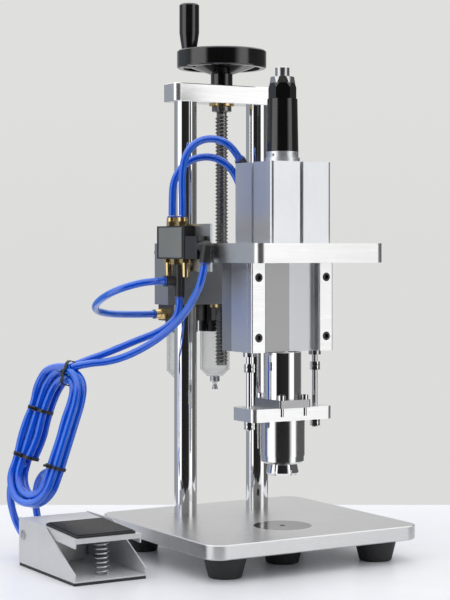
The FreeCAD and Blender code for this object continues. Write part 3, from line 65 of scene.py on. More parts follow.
def add_camera():
    data = bpy.data.cameras.new("camera")
    camera = bpy.data.objects.new("camera", data)
    scene.collection.objects.link(camera)
    place = -CAMERA_LEFT * RIGHT - CAMERA_BACK * AHEAD
    place.z = CAMERA_HEIGHT
    turn = Matrix((RIGHT, UP, -AHEAD)).transposed().to_4x4()
    turn.translation = place
    camera.matrix_world = turn
    data.sensor_fit = "VERTICAL"
    data.sensor_height = SENSOR_HEIGHT
    data.sensor_width = 27
    data.lens = FOCAL_PIXELS * SENSOR_HEIGHT / PICTURE_HEIGHT
    data.shift_y = -(PICTURE_HEIGHT / 2 - HORIZON_PIXEL) / PICTURE_HEIGHT
    data.clip_end = 50
    scene.camera = camera


add_camera()
scene.view_settings.view_transform = "Standard"


# Node helpers
def new_node(tree, kind, place=(0, 0), **settings):
    node = tree.nodes.new(kind)
    node.location = place
    for key, value in settings.items():
        setattr(node, key, value)
    return node


def math_node(tree, operation, a, b=None, clamp=False):
    node = new_node(tree, "ShaderNodeMath", operation=operation, use_clamp=clamp)
    for socket, value in zip(node.inputs, (a, b)):
        if value is None:
            continue
        if isinstance(value, (int, float)):
            socket.default_value = value
        else:
            tree.links.new(value, socket)
    return node.outputs[0]


def colour_mix(tree, share, a, b, blend="MIX"):
    node = new_node(tree, "ShaderNodeMix", data_type="RGBA", blend_type=blend)
    for socket, value in ((node.inputs[0], share), (node.inputs[6], a), (node.inputs[7], b)):
        if isinstance(value, (int, float, tuple)):
            socket.default_value = value
        else:
            tree.links.new(value, socket)
    return node.outputs[2]


def ramp_node(tree, value, stops, interpolation="LINEAR"):
    node = new_node(tree, "ShaderNodeValToRGB")
    ramp = node.color_ramp
    ramp.interpolation = interpolation
    while len(ramp.elements) < len(stops):
        ramp.elements.new(0.5)
    for element, (place, colour) in zip(ramp.elements, stops):
        element.position = place
        element.color = (*colour, 1.0) if isinstance(colour, tuple) else (colour, colour, colour, 1.0)
    tree.links.new(value, node.inputs[0])
    return node.outputs[0]


# Effects shared by several materials
def new_group(name, inputs, outputs):
    group = bpy.data.node_groups.new(name, "ShaderNodeTree")
    for label, kind, value in inputs:
        socket = group.interface.new_socket(label, in_out="INPUT", socket_type=kind)
        if value is not None:
            socket.default_value = value
    for label, kind in outputs:
        group.interface.new_socket(label, in_out="OUTPUT", socket_type=kind)
    return group, new_node(group, "NodeGroupInput", (-900, 0)), new_node(group, "NodeGroupOutput", (900, 0))


def make_brushed():
    group, given, out = new_group(
        "brushed_grain",
        [("Place", "NodeSocketVector", None), ("Stretch", "NodeSocketVector", (1.0, 1.0, 1.0))],
        [("Mask", "NodeSocketFloat")])
    scaled = new_node(group, "ShaderNodeVectorMath", operation="MULTIPLY")
    group.links.new(given.outputs["Place"], scaled.inputs[0])
    group.links.new(given.outputs["Stretch"], scaled.inputs[1])
    noise = new_node(group, "ShaderNodeTexNoise")
    noise.inputs["Scale"].default_value = 1.0
    noise.inputs["Detail"].default_value = 4.0
    group.links.new(scaled.outputs[0], noise.inputs["Vector"])
    group.links.new(noise.outputs[0], out.inputs["Mask"])
    return group


def make_mottle():
    group, given, out = new_group(
        "handling_marks",
        [("Place", "NodeSocketVector", None), ("Scale", "NodeSocketFloat", 12.0)],
        [("Mask", "NodeSocketFloat")])
    broad = new_node(group, "ShaderNodeTexNoise")
    broad.inputs["Detail"].default_value = 3.0
    fine = new_node(group, "ShaderNodeTexNoise")
    fine.inputs["Detail"].default_value = 5.0
    group.links.new(given.outputs["Place"], broad.inputs["Vector"])
    group.links.new(given.outputs["Place"], fine.inputs["Vector"])
    group.links.new(given.outputs["Scale"], broad.inputs["Scale"])
    group.links.new(math_node(group, "MULTIPLY", given.outputs["Scale"], 7.0), fine.inputs["Scale"])
    total = math_node(group, "ADD", math_node(group, "MULTIPLY", broad.outputs[0], 0.7),
                      math_node(group, "MULTIPLY", fine.outputs[0], 0.3))
    contrast = math_node(group, "MULTIPLY", math_node(group, "SUBTRACT", total, 0.5), 2.5)
    group.links.new(math_node(group, "ADD", contrast, 0.5, clamp=True), out.inputs["Mask"])
    return group


brushed = make_brushed()
marks = make_mottle()


def start_material(name):
    made = bpy.data.materials.new(name)
    made.use_nodes = True
    tree = made.node_tree
    tree.nodes.clear()
    shader = new_node(tree, "ShaderNodeBsdfPrincipled", (300, 0))
    output = new_node(tree, "ShaderNodeOutputMaterial", (600, 0))
    tree.links.new(shader.outputs[0], output.inputs["Surface"])
    where = new_node(tree, "ShaderNodeTexCoord", (-1200, 0)).outputs["Object"]
    return made, tree, shader, where


def use_group(tree, group, where, **values):
    node = new_node(tree, "ShaderNodeGroup", (-700, 0), node_tree=group)
    tree.links.new(where, node.inputs["Place"])
    for key, value in values.items():
        node.inputs[key].default_value = value
    return node


def add_bump(tree, shader, height, distance, strength=1.0):
    bump = new_node(tree, "ShaderNodeBump", (0, -300))
    bump.inputs["Strength"].default_value = strength
    bump.inputs["Distance"].default_value = distance
    tree.links.new(height, bump.inputs["Height"])
    tree.links.new(bump.outputs[0], shader.inputs["Normal"])


def metal(name, colour, rough, stretch=(60.0, 60.0, 900.0), grain=0.00002, rough_spread=0.08,
          marks_scale=12.0, marks_depth=0.06):
    made, tree, shader, where = start_material(name)
    grain_mask = use_group(tree, brushed, where, Stretch=stretch).outputs["Mask"]
    mark = use_group(tree, marks, where, Scale=marks_scale).outputs["Mask"]
    dark = tuple(c * (1 - marks_depth) for c in colour)
    tree.links.new(colour_mix(tree, mark, (*colour, 1.0), (*dark, 1.0)), shader.inputs["Base Color"])
    spread = math_node(tree, "MULTIPLY", math_node(tree, "SUBTRACT", grain_mask, 0.5), rough_spread * 2)
    tree.links.new(math_node(tree, "ADD", spread, rough, clamp=True), shader.inputs["Roughness"])
    shader.inputs["Metallic"].default_value = 1.0
    if grain:
        add_bump(tree, shader, grain_mask, grain)
    return made


def plain(name, colour, rough, coat=0.0, marks_scale=20.0, marks_depth=0.25, rough_spread=0.06,
          bump=0.0, ior=1.5):
    made, tree, shader, where = start_material(name)
    mark = use_group(tree, marks, where, Scale=marks_scale).outputs["Mask"]
    light = tuple(min(1.0, c * (1 + marks_depth)) for c in colour)
    tree.links.new(colour_mix(tree, mark, (*colour, 1.0), (*light, 1.0)), shader.inputs["Base Color"])
    spread = math_node(tree, "MULTIPLY", math_node(tree, "SUBTRACT", mark, 0.5), rough_spread * 2)
    tree.links.new(math_node(tree, "ADD", spread, rough, clamp=True), shader.inputs["Roughness"])
    shader.inputs["Coat Weight"].default_value = coat
    shader.inputs["Coat Roughness"].default_value = 0.06
    shader.inputs["IOR"].default_value = ior
    if bump:
        add_bump(tree, shader, mark, bump)
    return made


def hose_material(name, deep, bright):
    made, tree, shader, where = start_material(name)
    # Painted sheen: the hose is deep blue face on and turns bright blue towards its edges
    facing = new_node(tree, "ShaderNodeLayerWeight", (-600, 200))
    facing.inputs["Blend"].default_value = 0.45
    mark = use_group(tree, marks, where, Scale=25.0).outputs["Mask"]
    wall = colour_mix(tree, facing.outputs["Facing"], (*deep, 1.0), (*bright, 1.0))
    shade = math_node(tree, "MULTIPLY", mark, 0.12)
    tree.links.new(colour_mix(tree, shade, wall, (*bright, 1.0)), shader.inputs["Base Color"])
    shader.inputs["Roughness"].default_value = 0.2
    shader.inputs["IOR"].default_value = 1.5
    shader.inputs["Coat Weight"].default_value = 1.0
    shader.inputs["Coat Roughness"].default_value = 0.03
    return made


def clear_material(name):
    made, tree, shader, where = start_material(name)
    mark = use_group(tree, marks, where, Scale=15.0).outputs["Mask"]
    tree.links.new(colour_mix(tree, mark, (0.55, 0.57, 0.58, 1.0), (0.45, 0.47, 0.48, 1.0)),
                   shader.inputs["Base Color"])
    shader.inputs["Roughness"].default_value = 0.06
    facing = new_node(tree, "ShaderNodeLayerWeight", (-600, 200))
    facing.inputs["Blend"].default_value = 0.35
    edge = math_node(tree, "POWER", facing.outputs["Facing"], 2.0)
    tree.links.new(math_node(tree, "ADD", math_node(tree, "MULTIPLY", edge, 0.75), 0.12, clamp=True),
                   shader.inputs["Alpha"])
    return made


# How the grain of a metal is stretched: upright, across the plate, or round a turned piece
UPRIGHT = (900.0, 900.0, 25.0)
ACROSS = (25.0, 900.0, 900.0)
RINGS = (20.0, 20.0, 2400.0)
finish = {
    "satin_plate": metal("satin_plate", (0.66, 0.66, 0.655), 0.30, ACROSS, grain=0.000015),
    "bright_plate": metal("bright_plate", (0.90, 0.90, 0.90), 0.30, ACROSS, grain=0.00001),
    "grey_block": metal("grey_block", (0.50, 0.51, 0.53), 0.36, ACROSS, grain=0.00002),
    "anodised": metal("anodised", (0.84, 0.86, 0.89), 0.36, UPRIGHT, grain=0.00001),
    "grey_side": metal("grey_side", (0.56, 0.57, 0.58), 0.40, UPRIGHT, grain=0.00001),
    "chrome": metal("chrome", (0.88, 0.88, 0.89), 0.05, RINGS, grain=0.0, rough_spread=0.02,
                    marks_scale=8.0, marks_depth=0.03),
    "turned": metal("turned", (0.78, 0.78, 0.79), 0.15, RINGS, grain=0.00002),
    "steel": metal("steel", (0.62, 0.62, 0.63), 0.24, RINGS, grain=0.00001),
    "dark_steel": metal("dark_steel", (0.36, 0.36, 0.37), 0.24, ACROSS, grain=0.00001),
    "disc_steel": metal("disc_steel", (0.24, 0.24, 0.245), 0.18, RINGS, grain=0.00001),
    "screw_steel": metal("screw_steel", (0.27, 0.265, 0.26), 0.30, RINGS, grain=0.0),
    "brass": metal("brass", (0.92, 0.70, 0.34), 0.24, RINGS, grain=0.00001, rough_spread=0.06,
                   marks_scale=60.0, marks_depth=0.2),
    "black_screw": plain("black_screw", (0.012, 0.012, 0.013), 0.38, coat=0.2),
    "black_gloss": plain("black_gloss", (0.004, 0.004, 0.004), 0.14, ior=1.75),
    "black_matte": plain("black_matte", (0.018, 0.018, 0.019), 0.34, coat=0.15, marks_scale=40.0,
                         marks_depth=0.4),
    "black_body": plain("black_body", (0.014, 0.014, 0.015), 0.3, coat=0.2, marks_scale=40.0,
                        marks_depth=0.4),
    "blue_ring": plain("blue_ring", (0.03, 0.09, 0.42), 0.25, coat=0.4),
    "blue_hose": hose_material("blue_hose", (0.0, 0.085, 0.72), (0.006, 0.24, 0.90)),
    "clear_bowl": clear_material("clear_bowl"),
    "rubber": plain("rubber", (0.016, 0.016, 0.017), 0.6, marks_scale=50.0, marks_depth=0.6,
                    rough_spread=0.1, bump=0.0001),
    "tread_rubber": plain("tread_rubber", (0.016, 0.016, 0.017), 0.42, coat=0.2, marks_scale=60.0,
                          marks_depth=0.5),
    "grey_paint": plain("grey_paint", (0.55, 0.56, 0.57), 0.38, coat=0.15, marks_scale=30.0,
                        marks_depth=0.08, rough_spread=0.08, bump=0.00005),
}


def two_tone_and_painted_shade(name, low, high, inside, outside, rough, metallic):
    """One finish between two planes across X and another outside them; on the guide the darker inside colour
    is painted shade.
    """
    made, tree, shader, where = start_material(name)
    split = new_node(tree, "ShaderNodeSeparateXYZ")
    tree.links.new(where, split.inputs[0])
    above = math_node(tree, "GREATER_THAN", split.outputs[0], low)
    below = math_node(tree, "LESS_THAN", split.outputs[0], high)
    mark = use_group(tree, marks, where, Scale=20.0).outputs["Mask"]
    chosen = colour_mix(tree, math_node(tree, "MULTIPLY", above, below), (*outside, 1.0), (*inside, 1.0))
    tree.links.new(colour_mix(tree, math_node(tree, "MULTIPLY", mark, 0.08), chosen, (0.5, 0.5, 0.5, 1.0)),
                   shader.inputs["Base Color"])
    shader.inputs["Roughness"].default_value = rough
    shader.inputs["Metallic"].default_value = metallic
    return made


def lowest_x(name):
    return min(vertex.co.x for vertex in nodes[name].data.vertices)


# The valve has a grey plate on its left face, and the left half of the guide gets painted shade, darker than
# its right
VALVE_PLATE = 0.0007
GUIDE_LEFT = -0.0329
valve_side = lowest_x("valve_body")
finish["valve_finish"] = two_tone_and_painted_shade("valve_finish", valve_side - 0.001, valve_side + VALVE_PLATE,
                                  inside=(0.20, 0.21, 0.20), outside=(0.008, 0.008, 0.009), rough=0.3,
                                  metallic=0.0)
# Painted shade: the guide's left half, from GUIDE_LEFT to the middle, is coloured dark grey
finish["guide_painted_shade"] = two_tone_and_painted_shade("guide_painted_shade", GUIDE_LEFT, 0.0, inside=(0.34, 0.34, 0.34),
                                  outside=(0.84, 0.86, 0.89), rough=0.34, metallic=1.0)

wears = {
    "base_plate": "satin_plate", "rubber_feet": "rubber", "frame_fasteners": "steel",
    "locating_disc": "disc_steel", "columns": "chrome", "top_beam": "bright_plate",
    "screw_bearing": "brass", "pedal_case": "grey_paint", "pedal_valve": "grey_side",
    "pedal_spring": "steel", "hose_ties": "black_matte", "handwheel": "black_gloss",
    "lead_screw": "screw_steel", "handle_grip": "black_gloss", "carriage_block": "grey_block",
    "carriage_bushes": "brass", "arm_plate": "bright_plate", "carriage_screws": "black_screw",
    "cylinder_body": "anodised", "adjuster_stem": "steel", "guide_body": "guide_painted_shade",
    "guide_strips": "bright_plate", "mounting_plate": "grey_block", "rod_bushes": "steel",
    "mount_brackets": "grey_side", "valve_body": "valve_finish", "valve_caps": "black_body",
    "hose_elbows": "black_matte", "brass_fittings": "brass", "release_rings": "blue_ring",
    "prep_bodies": "black_body", "prep_bowls": "clear_bowl", "bowl_drains": "steel",
    "adjuster_knob": "black_gloss", "regulator_knob": "black_matte", "ram_rod": "chrome",
    "piston": "grey_block", "ram_flange": "dark_steel", "head_plate": "bright_plate",
    "stop_rods": "chrome", "bell": "turned", "jaw_ring": "turned", "plunger": "steel",
    "plunger_spring": "steel", "pedal_tread": "grey_paint", "tread_pad": "rubber",
}
wears.update({"jaw_%d" % k: "chrome" for k in range(1, 7)})
for name, node in nodes.items():
    chosen = finish[wears.get(name, "blue_hose")]
    node.data.materials.clear()
    node.data.materials.append(chosen)
    for face in node.data.polygons:
        face.material_index = 0


# Hoses: the centrelines of the fitted model, in metres
def millimetres(points):
    return [tuple(value / 1000 for value in point) for point in points]


HOSE = 0.008
signal_route = millimetres([
    (-89.8, 9.0, 314.0), (-92.6, 9.9, 296.3), (-93.7, 22.8, 280.5), (-96.1, 34.5, 266.4),
    (-100.6, 47.1, 253.6), (-107.3, 59.8, 242.0), (-116.1, 72.3, 231.7),
    (-126.8, 84.3, 222.5), (-139.4, 95.5, 214.9), (-154.1, 105.5, 210.1),
    (-170.9, 114.4, 208.8), (-186.9, 122.7, 204.7)])
supply_route = millimetres([
    (-86.8, 67.0, 277.5), (-86.8, 67.0, 261.9), (-94.9, 75.1, 248.6),
    (-106.4, 82.8, 240.7), (-119.0, 91.0, 235.0), (-131.3, 99.3, 229.0),
    (-143.5, 107.6, 222.7), (-155.9, 115.9, 216.8), (-169.1, 124.4, 211.5),
    (-182.3, 131.4, 205.2)])
signal_tail = millimetres([
    (-195.0, 142.2, 15.0), (-195.0, 157.0, 15.0), (-197.2, 171.3, 21.5),
    (-198.6, 180.9, 33.0), (-200.2, 184.3, 47.7), (-201.0, 183.7, 62.9),
    (-200.7, 178.8, 77.2), (-199.4, 168.2, 87.8), (-197.7, 153.3, 92.1),
    (-196.2, 138.6, 92.4)])
supply_tail = millimetres([
    (-215.0, 142.2, 15.0), (-215.0, 158.1, 15.0), (-219.0, 173.7, 20.4),
    (-223.7, 182.2, 33.1), (-228.0, 184.9, 48.6), (-230.9, 184.2, 64.6),
    (-231.0, 179.5, 80.2), (-229.2, 168.4, 92.6), (-225.2, 157.2, 103.0)])
link_route = millimetres([
    (-103.9, 72.0, 296.2), (-121.1, 72.3, 296.2), (-137.1, 81.7, 292.0),
    (-148.2, 94.2, 286.6), (-153.3, 109.8, 280.2), (-153.5, 126.3, 274.0),
    (-149.4, 142.6, 268.4), (-140.9, 157.3, 263.7), (-127.9, 168.7, 260.1),
    (-111.6, 175.0, 258.0), (-94.1, 177.6, 257.1), (-75.9, 178.0, 256.7),
    (-58.7, 178.0, 256.7)])
long_arc = millimetres([
    (-86.8, 61.0, 365.8), (-86.8, 60.5, 380.8), (-87.7, 60.2, 396.8), (-87.4, 59.7, 412.3),
    (-85.2, 59.0, 427.5), (-77.3, 56.9, 440.5), (-64.2, 53.3, 447.5), (-49.4, 49.2, 447.4),
    (-35.5, 44.5, 440.2), (-26.8, 44.5, 427.9)])
short_arc = millimetres([
    (-86.8, 83.0, 365.8), (-86.8, 83.0, 383.6), (-85.9, 82.5, 402.2), (-78.6, 78.3, 418.3),
    (-65.4, 70.8, 428.1), (-49.7, 61.8, 429.4), (-35.5, 53.7, 421.6), (-26.5, 48.7, 406.7),
    (-22.4, 44.5, 388.7), (-19.4, 44.5, 371.2)])

# Hank: each of the two hoses makes about two turns and a third, side by side, each turn inside the last
HANK_ALONG = Vector((0.284, -0.090, 0.955)).normalized()
HANK_MIDDLE = Vector((-0.208, 0.134, 0.127)) + 0.006 * HANK_ALONG
HANK_FACE = Vector((0.823, -0.488, -0.291)).normalized()
HANK_SWING = math.radians(40)
HANK_ACROSS = HANK_FACE * math.cos(HANK_SWING) - HANK_ALONG.cross(HANK_FACE) * math.sin(HANK_SWING)
HANK_OUT = HANK_ALONG.cross(HANK_ACROSS)
HANK_HALF_RUN = 0.048
HANK_RADIUS = 0.025
HANK_STEP = 0.0082
HANK_SIDE = 0.0043
HANK_FAN = 0.16
HANK_TIES = (-0.62, 0.45)
HANK_ARC = math.pi * HANK_RADIUS
HANK_LAP = 2 * HANK_ARC + 4 * HANK_HALF_RUN
HANK_POINTS = 40
ARRIVAL = 0.022


def smooth(share):
    share = min(1.0, max(0.0, share))
    return share * share * (3 - 2 * share)


def looseness(level):
    """0 under a tie, 1 well away from every tie."""
    nearest = min(abs(level - share * HANK_HALF_RUN) for share in HANK_TIES)
    return smooth((nearest - 0.004) / 0.016)


def hank_point(way, side):
    rest = way % HANK_LAP
    if rest < HANK_ARC / 2:
        level, angle = HANK_HALF_RUN, math.pi / 2 + rest / HANK_RADIUS
    elif rest < HANK_ARC / 2 + 2 * HANK_HALF_RUN:
        level, angle = HANK_HALF_RUN + HANK_ARC / 2 - rest, math.pi
    elif rest < 1.5 * HANK_ARC + 2 * HANK_HALF_RUN:
        level = -HANK_HALF_RUN
        angle = math.pi + (rest - HANK_ARC / 2 - 2 * HANK_HALF_RUN) / HANK_RADIUS
    elif rest < 1.5 * HANK_ARC + 4 * HANK_HALF_RUN:
        level, angle = rest - 1.5 * HANK_ARC - 3 * HANK_HALF_RUN, 2 * math.pi
    else:
        level, angle = HANK_HALF_RUN, (rest - 1.5 * HANK_ARC - 4 * HANK_HALF_RUN) / HANK_RADIUS
    turns = sum(smooth((way - (lap + 0.5) * HANK_LAP + HANK_ARC / 2) / HANK_ARC) for lap in (0, 1))
    loose = looseness(level)
    radial = HANK_RADIUS + HANK_STEP * (1 - turns) * (1 + HANK_FAN * loose)
    out = side * HANK_SIDE + 0.003 * (turns - 1) * loose
    return (HANK_MIDDLE + HANK_ACROSS * math.cos(angle) * radial + HANK_OUT * out
            + HANK_ALONG * (level + math.sin(angle) * radial))


def hank_route(arrival, side):
    end = 2 * HANK_LAP + HANK_ARC / 2 + (1 - HANK_TIES[0]) * HANK_HALF_RUN
    last, before = Vector(arrival[-1]), Vector(arrival[-2])
    heading = (last - before).normalized()
    points = []
    for index in range(HANK_POINTS + 1):
        way = end * index / HANK_POINTS
        place = hank_point(way, side)
        if way < ARRIVAL:
            place = (last + heading * way).lerp(place, smooth(way / ARRIVAL))
        points.append(tuple(place))
    return points


hank_front = hank_route(signal_route, -1)
hank_back = hank_route(supply_route, 1)


def draw_hose(name, points, radius=HOSE / 2):
    data = bpy.data.curves.new(name, "CURVE")
    data.dimensions = "3D"
    line = data.splines.new("NURBS")
    line.points.add(len(points) - 1)
    for point, place in zip(line.points, points):
        point.co = (*place, 1.0)
    line.order_u = 3
    line.use_endpoint_u = True
    line.resolution_u = 8
    data.bevel_depth = radius
    data.bevel_resolution = 7
    data.use_fill_caps = True
    data.materials.append(finish["blue_hose"])
    piece = bpy.data.objects.new(name, data)
    scene.collection.objects.link(piece)
    return piece


def tube_mesh(name, points, radius):
    curve = draw_hose(name + "_line", points, radius)
    bpy.context.view_layer.update()
    mesh = bpy.data.meshes.new_from_object(curve.evaluated_get(bpy.context.evaluated_depsgraph_get()))
    bpy.data.objects.remove(curve)
    return mesh


def spline_length(points):
    """The true length of a route, which its spline rounds off."""
    line = [vertex.co for vertex in tube_mesh("measured", points, 0.0).vertices]
    return sum((b - a).length for a, b in zip(line, line[1:]))


hose_plan = [
    ("tail_tube_front", signal_tail, "tail_hose_1", "stand", 0.1352),
    ("tail_tube_back", supply_tail, "tail_hose_2", "stand", 0.1290),
    ("link_tube", link_route, "link_hose", "carriage", 0.2113),
    ("long_arc_tube", long_arc, "long_arc_hose", "carriage", 0.1379),
    ("short_arc_tube", short_arc, "short_arc_hose", "carriage", 0.1618),
    ("hank_tube_front", hank_front, "hose_hank", "stand", spline_length(hank_front)),
    ("hank_tube_back", hank_back, "hose_hank", "stand", spline_length(hank_back)),
]
for name, route, node, body, length in hose_plan:
    tube = draw_hose(name, route)
    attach(tube, body)
    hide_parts(node)


# The signal and supply hoses reach from the carriage to the hank, so each is made as one fixed mesh on
# neither body
def add_reaching_hose(name, route, node):
    line = tube_mesh(name, route, 0.0)
    mesh = tube_mesh(name, route, HOSE / 2)
    mesh.name = name
    tube = bpy.data.objects.new(name, mesh)
    scene.collection.objects.link(tube)
    for face in mesh.polygons:
        face.use_smooth = True
    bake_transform(tube)
    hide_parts(node)


add_reaching_hose("signal_tube", signal_route, "signal_hose")
add_reaching_hose("supply_tube", supply_route, "supply_hose")


# Shapes made here: the screw's thread, the ribs of the tread, the ties of the hank and the springs
def deselect():
    bpy.ops.object.select_all(action="DESELECT")


def finish_piece(piece, name, surface, body=None, smooth_angle=35):
    deselect()
    piece.select_set(True)
    bpy.context.view_layer.objects.active = piece
    bpy.ops.object.transform_apply(location=True, rotation=True, scale=True)
    bpy.ops.object.shade_smooth_by_angle(angle=math.radians(smooth_angle))
    piece.name = name
    piece.data.name = name
    piece.data.materials.clear()
    piece.data.materials.append(finish[surface])
    if body:
        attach(piece, body)
    return piece


def add_modifier(kind, **settings):
    piece = bpy.context.object
    modifier = piece.modifiers.new(kind.lower(), kind)
    for key, value in settings.items():
        setattr(modifier, key, value)
    bpy.ops.object.modifier_apply(modifier=modifier.name)


def turned_rod(radius, low, high, x, y, edge=0.0004, sides=64):
    deselect()
    bpy.ops.mesh.primitive_cylinder_add(vertices=sides, radius=radius, depth=high - low,
                                        location=(x, y, (low + high) / 2), calc_uvs=False)
    bpy.ops.object.transform_apply(location=True, rotation=True, scale=True)
    add_modifier("BEVEL", width=edge, segments=2, limit_method="ANGLE", angle_limit=math.radians(50))
    return bpy.context.object


def join(pieces):
    deselect()
    for piece in pieces:
        piece.select_set(True)
    bpy.context.view_layer.objects.active = pieces[0]
    bpy.ops.object.join()
    return pieces[0]


# Lead screw: its axis, its ends, its thread, and radius, low end and high end of each collar
SCREW_Y = 0.1255
SCREW_BOTTOM = 0.2002
SCREW_TOP = 0.5416
THREAD_TOP = 0.4830
THREAD_PITCH = 0.004
THREAD_OUTER = 0.007
THREAD_ROOT = 0.0057
SCREW_COLLARS = [(0.011, 0.48365, 0.48965), (0.009, SCREW_TOP, 0.5432), (0.0051, 0.5432, 0.5480)]
# The handle's spindle: its place, then radius, low end, high end and sides of the pin and of its head
SPINDLE = (-0.03862, 0.13093)
SPINDLE_STEPS = [(0.003, 0.5314, 0.5975, 32), (0.005, 0.5972, 0.6001, 48)]


def close_ends():
    """Closes the open ends of the active mesh and turns its faces outward."""
    bpy.ops.object.mode_set(mode="EDIT")
    bpy.ops.mesh.select_all(action="DESELECT")
    bpy.ops.mesh.select_non_manifold()
    bpy.ops.mesh.edge_face_add()
    bpy.ops.mesh.select_all(action="SELECT")
    bpy.ops.mesh.normals_make_consistent(inside=False)
    bpy.ops.object.mode_set(mode="OBJECT")


def helical_thread():
    deselect()
    bpy.ops.mesh.primitive_plane_add(size=0.002, calc_uvs=False)
    piece = bpy.context.object
    low = SCREW_BOTTOM + 0.0006
    sunk = THREAD_ROOT - 0.0002
    profile = [(sunk, low), (THREAD_OUTER, low + 0.0008), (THREAD_OUTER, low + 0.0020), (sunk, low + 0.0028)]
    for index, (out, level) in zip((0, 1, 3, 2), profile):
        piece.data.vertices[index].co = (out, 0.0, level)
    bpy.ops.object.mode_set(mode="EDIT")
    bpy.ops.mesh.select_all(action="SELECT")
    bpy.ops.mesh.delete(type="ONLY_FACE")
    bpy.ops.object.mode_set(mode="OBJECT")
    turns = int((THREAD_TOP - low) / THREAD_PITCH) - 1
    add_modifier("SCREW", axis="Z", screw_offset=THREAD_PITCH, iterations=turns, steps=28, render_steps=28,
                 use_merge_vertices=False)
    close_ends()
    piece.location = (0, SCREW_Y, 0)
    bpy.ops.object.transform_apply(location=True, rotation=True, scale=True)
    return piece


def add_lead_screw():
    x, y = SPINDLE
    pieces = [turned_rod(THREAD_ROOT, SCREW_BOTTOM, THREAD_TOP + 0.002, 0, SCREW_Y),
              helical_thread(),
              turned_rod(THREAD_OUTER, THREAD_TOP, SCREW_TOP, 0, SCREW_Y)]
    pieces += [turned_rod(radius, low, high, 0, SCREW_Y) for radius, low, high in SCREW_COLLARS]
    pieces += [turned_rod(radius, low, high, x, y, sides=sides) for radius, low, high, sides in SPINDLE_STEPS]
    screw = finish_piece(join(pieces), "threaded_lead_screw", "screw_steel", "handwheel")
    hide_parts("lead_screw")


RIB_COUNT = 19
RIB_PITCH = 0.00365
RIB_SIZE = (0.0625, 0.0017, 0.0017)
PAD_MIDDLE = Vector((-0.205, 0.040755, 0.048933))
PAD_SLOPE = math.radians(2.5)


def add_tread_ribs():
    deselect()
    bpy.ops.mesh.primitive_cube_add(size=1.0, calc_uvs=False)
    rib = bpy.context.object
    rib.scale = RIB_SIZE
    rib.location = (0, -RIB_PITCH * (RIB_COUNT - 1) / 2, 0.0)
    bpy.ops.object.transform_apply(location=True, rotation=True, scale=True)
    add_modifier("BEVEL", width=0.0004, segments=2)
    add_modifier("ARRAY", count=RIB_COUNT, use_relative_offset=False, use_constant_offset=True,
                 constant_offset_displace=(0, RIB_PITCH, 0))
    rib.rotation_euler = (PAD_SLOPE, 0, 0)
    rib.location = PAD_MIDDLE
    ribs = finish_piece(rib, "tread_ribs", "tread_rubber", "pedal")


TIE_WIDTH = 0.0034
TIE_THICK = 0.0011
TIE_ROOM = 0.0002
TOP_SLACK = 0.0045
TIE_HEAD = (0.0050, 0.0032, 0.0046)
TIE_TAIL = (0.0010, 0.0080, 0.0026)
TIE_EDGE = 0.0003


def tie_plan():
    """The middle, the way outward, the way of the hoses and half the bundle's depth at each tie."""
    full, half = HANK_STEP + HOSE / 2, (HANK_STEP + HOSE) / 2
    low, high = (share * HANK_HALF_RUN for share in HANK_TIES)
    left, right = -HANK_RADIUS, HANK_RADIUS - HANK_STEP / 2
    top = HANK_HALF_RUN + HANK_RADIUS - TOP_SLACK
    return [(HANK_ALONG * top, HANK_ALONG, HANK_ACROSS, full),
            (HANK_ACROSS * left + HANK_ALONG * low, HANK_ACROSS, HANK_ALONG, full),
            (HANK_ACROSS * left + HANK_ALONG * high, HANK_ACROSS, HANK_ALONG, full),
            (HANK_ACROSS * right + HANK_ALONG * low, HANK_ACROSS, HANK_ALONG, half)]


def put_block(size, frame_of_tie, local, edge, open_ends=False):
    deselect()
    bpy.ops.mesh.primitive_cube_add(size=1.0, calc_uvs=False)
    block = bpy.context.object
    block.scale = size
    bpy.ops.object.transform_apply(location=True, rotation=True, scale=True)
    if open_ends:
        bpy.ops.object.mode_set(mode="EDIT")
        bpy.ops.mesh.select_mode(type="FACE")
        bpy.ops.mesh.select_all(action="DESELECT")
        bpy.ops.object.mode_set(mode="OBJECT")
        for face in block.data.polygons:
            face.select = abs(face.normal.z) > 0.9
        bpy.ops.object.mode_set(mode="EDIT")
        bpy.ops.mesh.delete(type="ONLY_FACE")
        bpy.ops.mesh.select_mode(type="VERT")
        bpy.ops.object.mode_set(mode="OBJECT")
        add_modifier("BEVEL", width=edge, segments=4)
        add_modifier("SOLIDIFY", thickness=TIE_THICK, offset=1.0)
    else:
        add_modifier("BEVEL", width=edge, segments=2)
    place = frame_of_tie.copy()
    place.translation = frame_of_tie @ Vector(local)
    block.matrix_world = place
    bpy.context.view_layer.update()
    bpy.ops.object.transform_apply(location=True, rotation=True, scale=True)
    return block


def add_hank_ties():
    half_out = HANK_SIDE + HOSE / 2 + TIE_ROOM
    pieces = []
    for middle, outward, along, half_deep in tie_plan():
        out = along.cross(outward).normalized()
        if out.dot(AHEAD) < 0:
            outward, out = -outward, -out
        turn = Matrix((outward, out, along)).transposed().to_4x4()
        turn.translation = HANK_MIDDLE + middle
        pieces.append(put_block((2 * (half_deep + TIE_ROOM), 2 * half_out, TIE_WIDTH), turn, (0, 0, 0),
                                HOSE / 2, open_ends=True))
        front = -half_out - TIE_THICK
        pieces.append(put_block(TIE_HEAD, turn, (0, front - 0.0010, 0), TIE_EDGE))
        pieces.append(put_block(TIE_TAIL, turn, (0.0008, front - 0.0062, 0), TIE_EDGE))
    ties = finish_piece(join(pieces), "hank_ties", "black_matte", "stand")
    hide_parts("hose_ties")


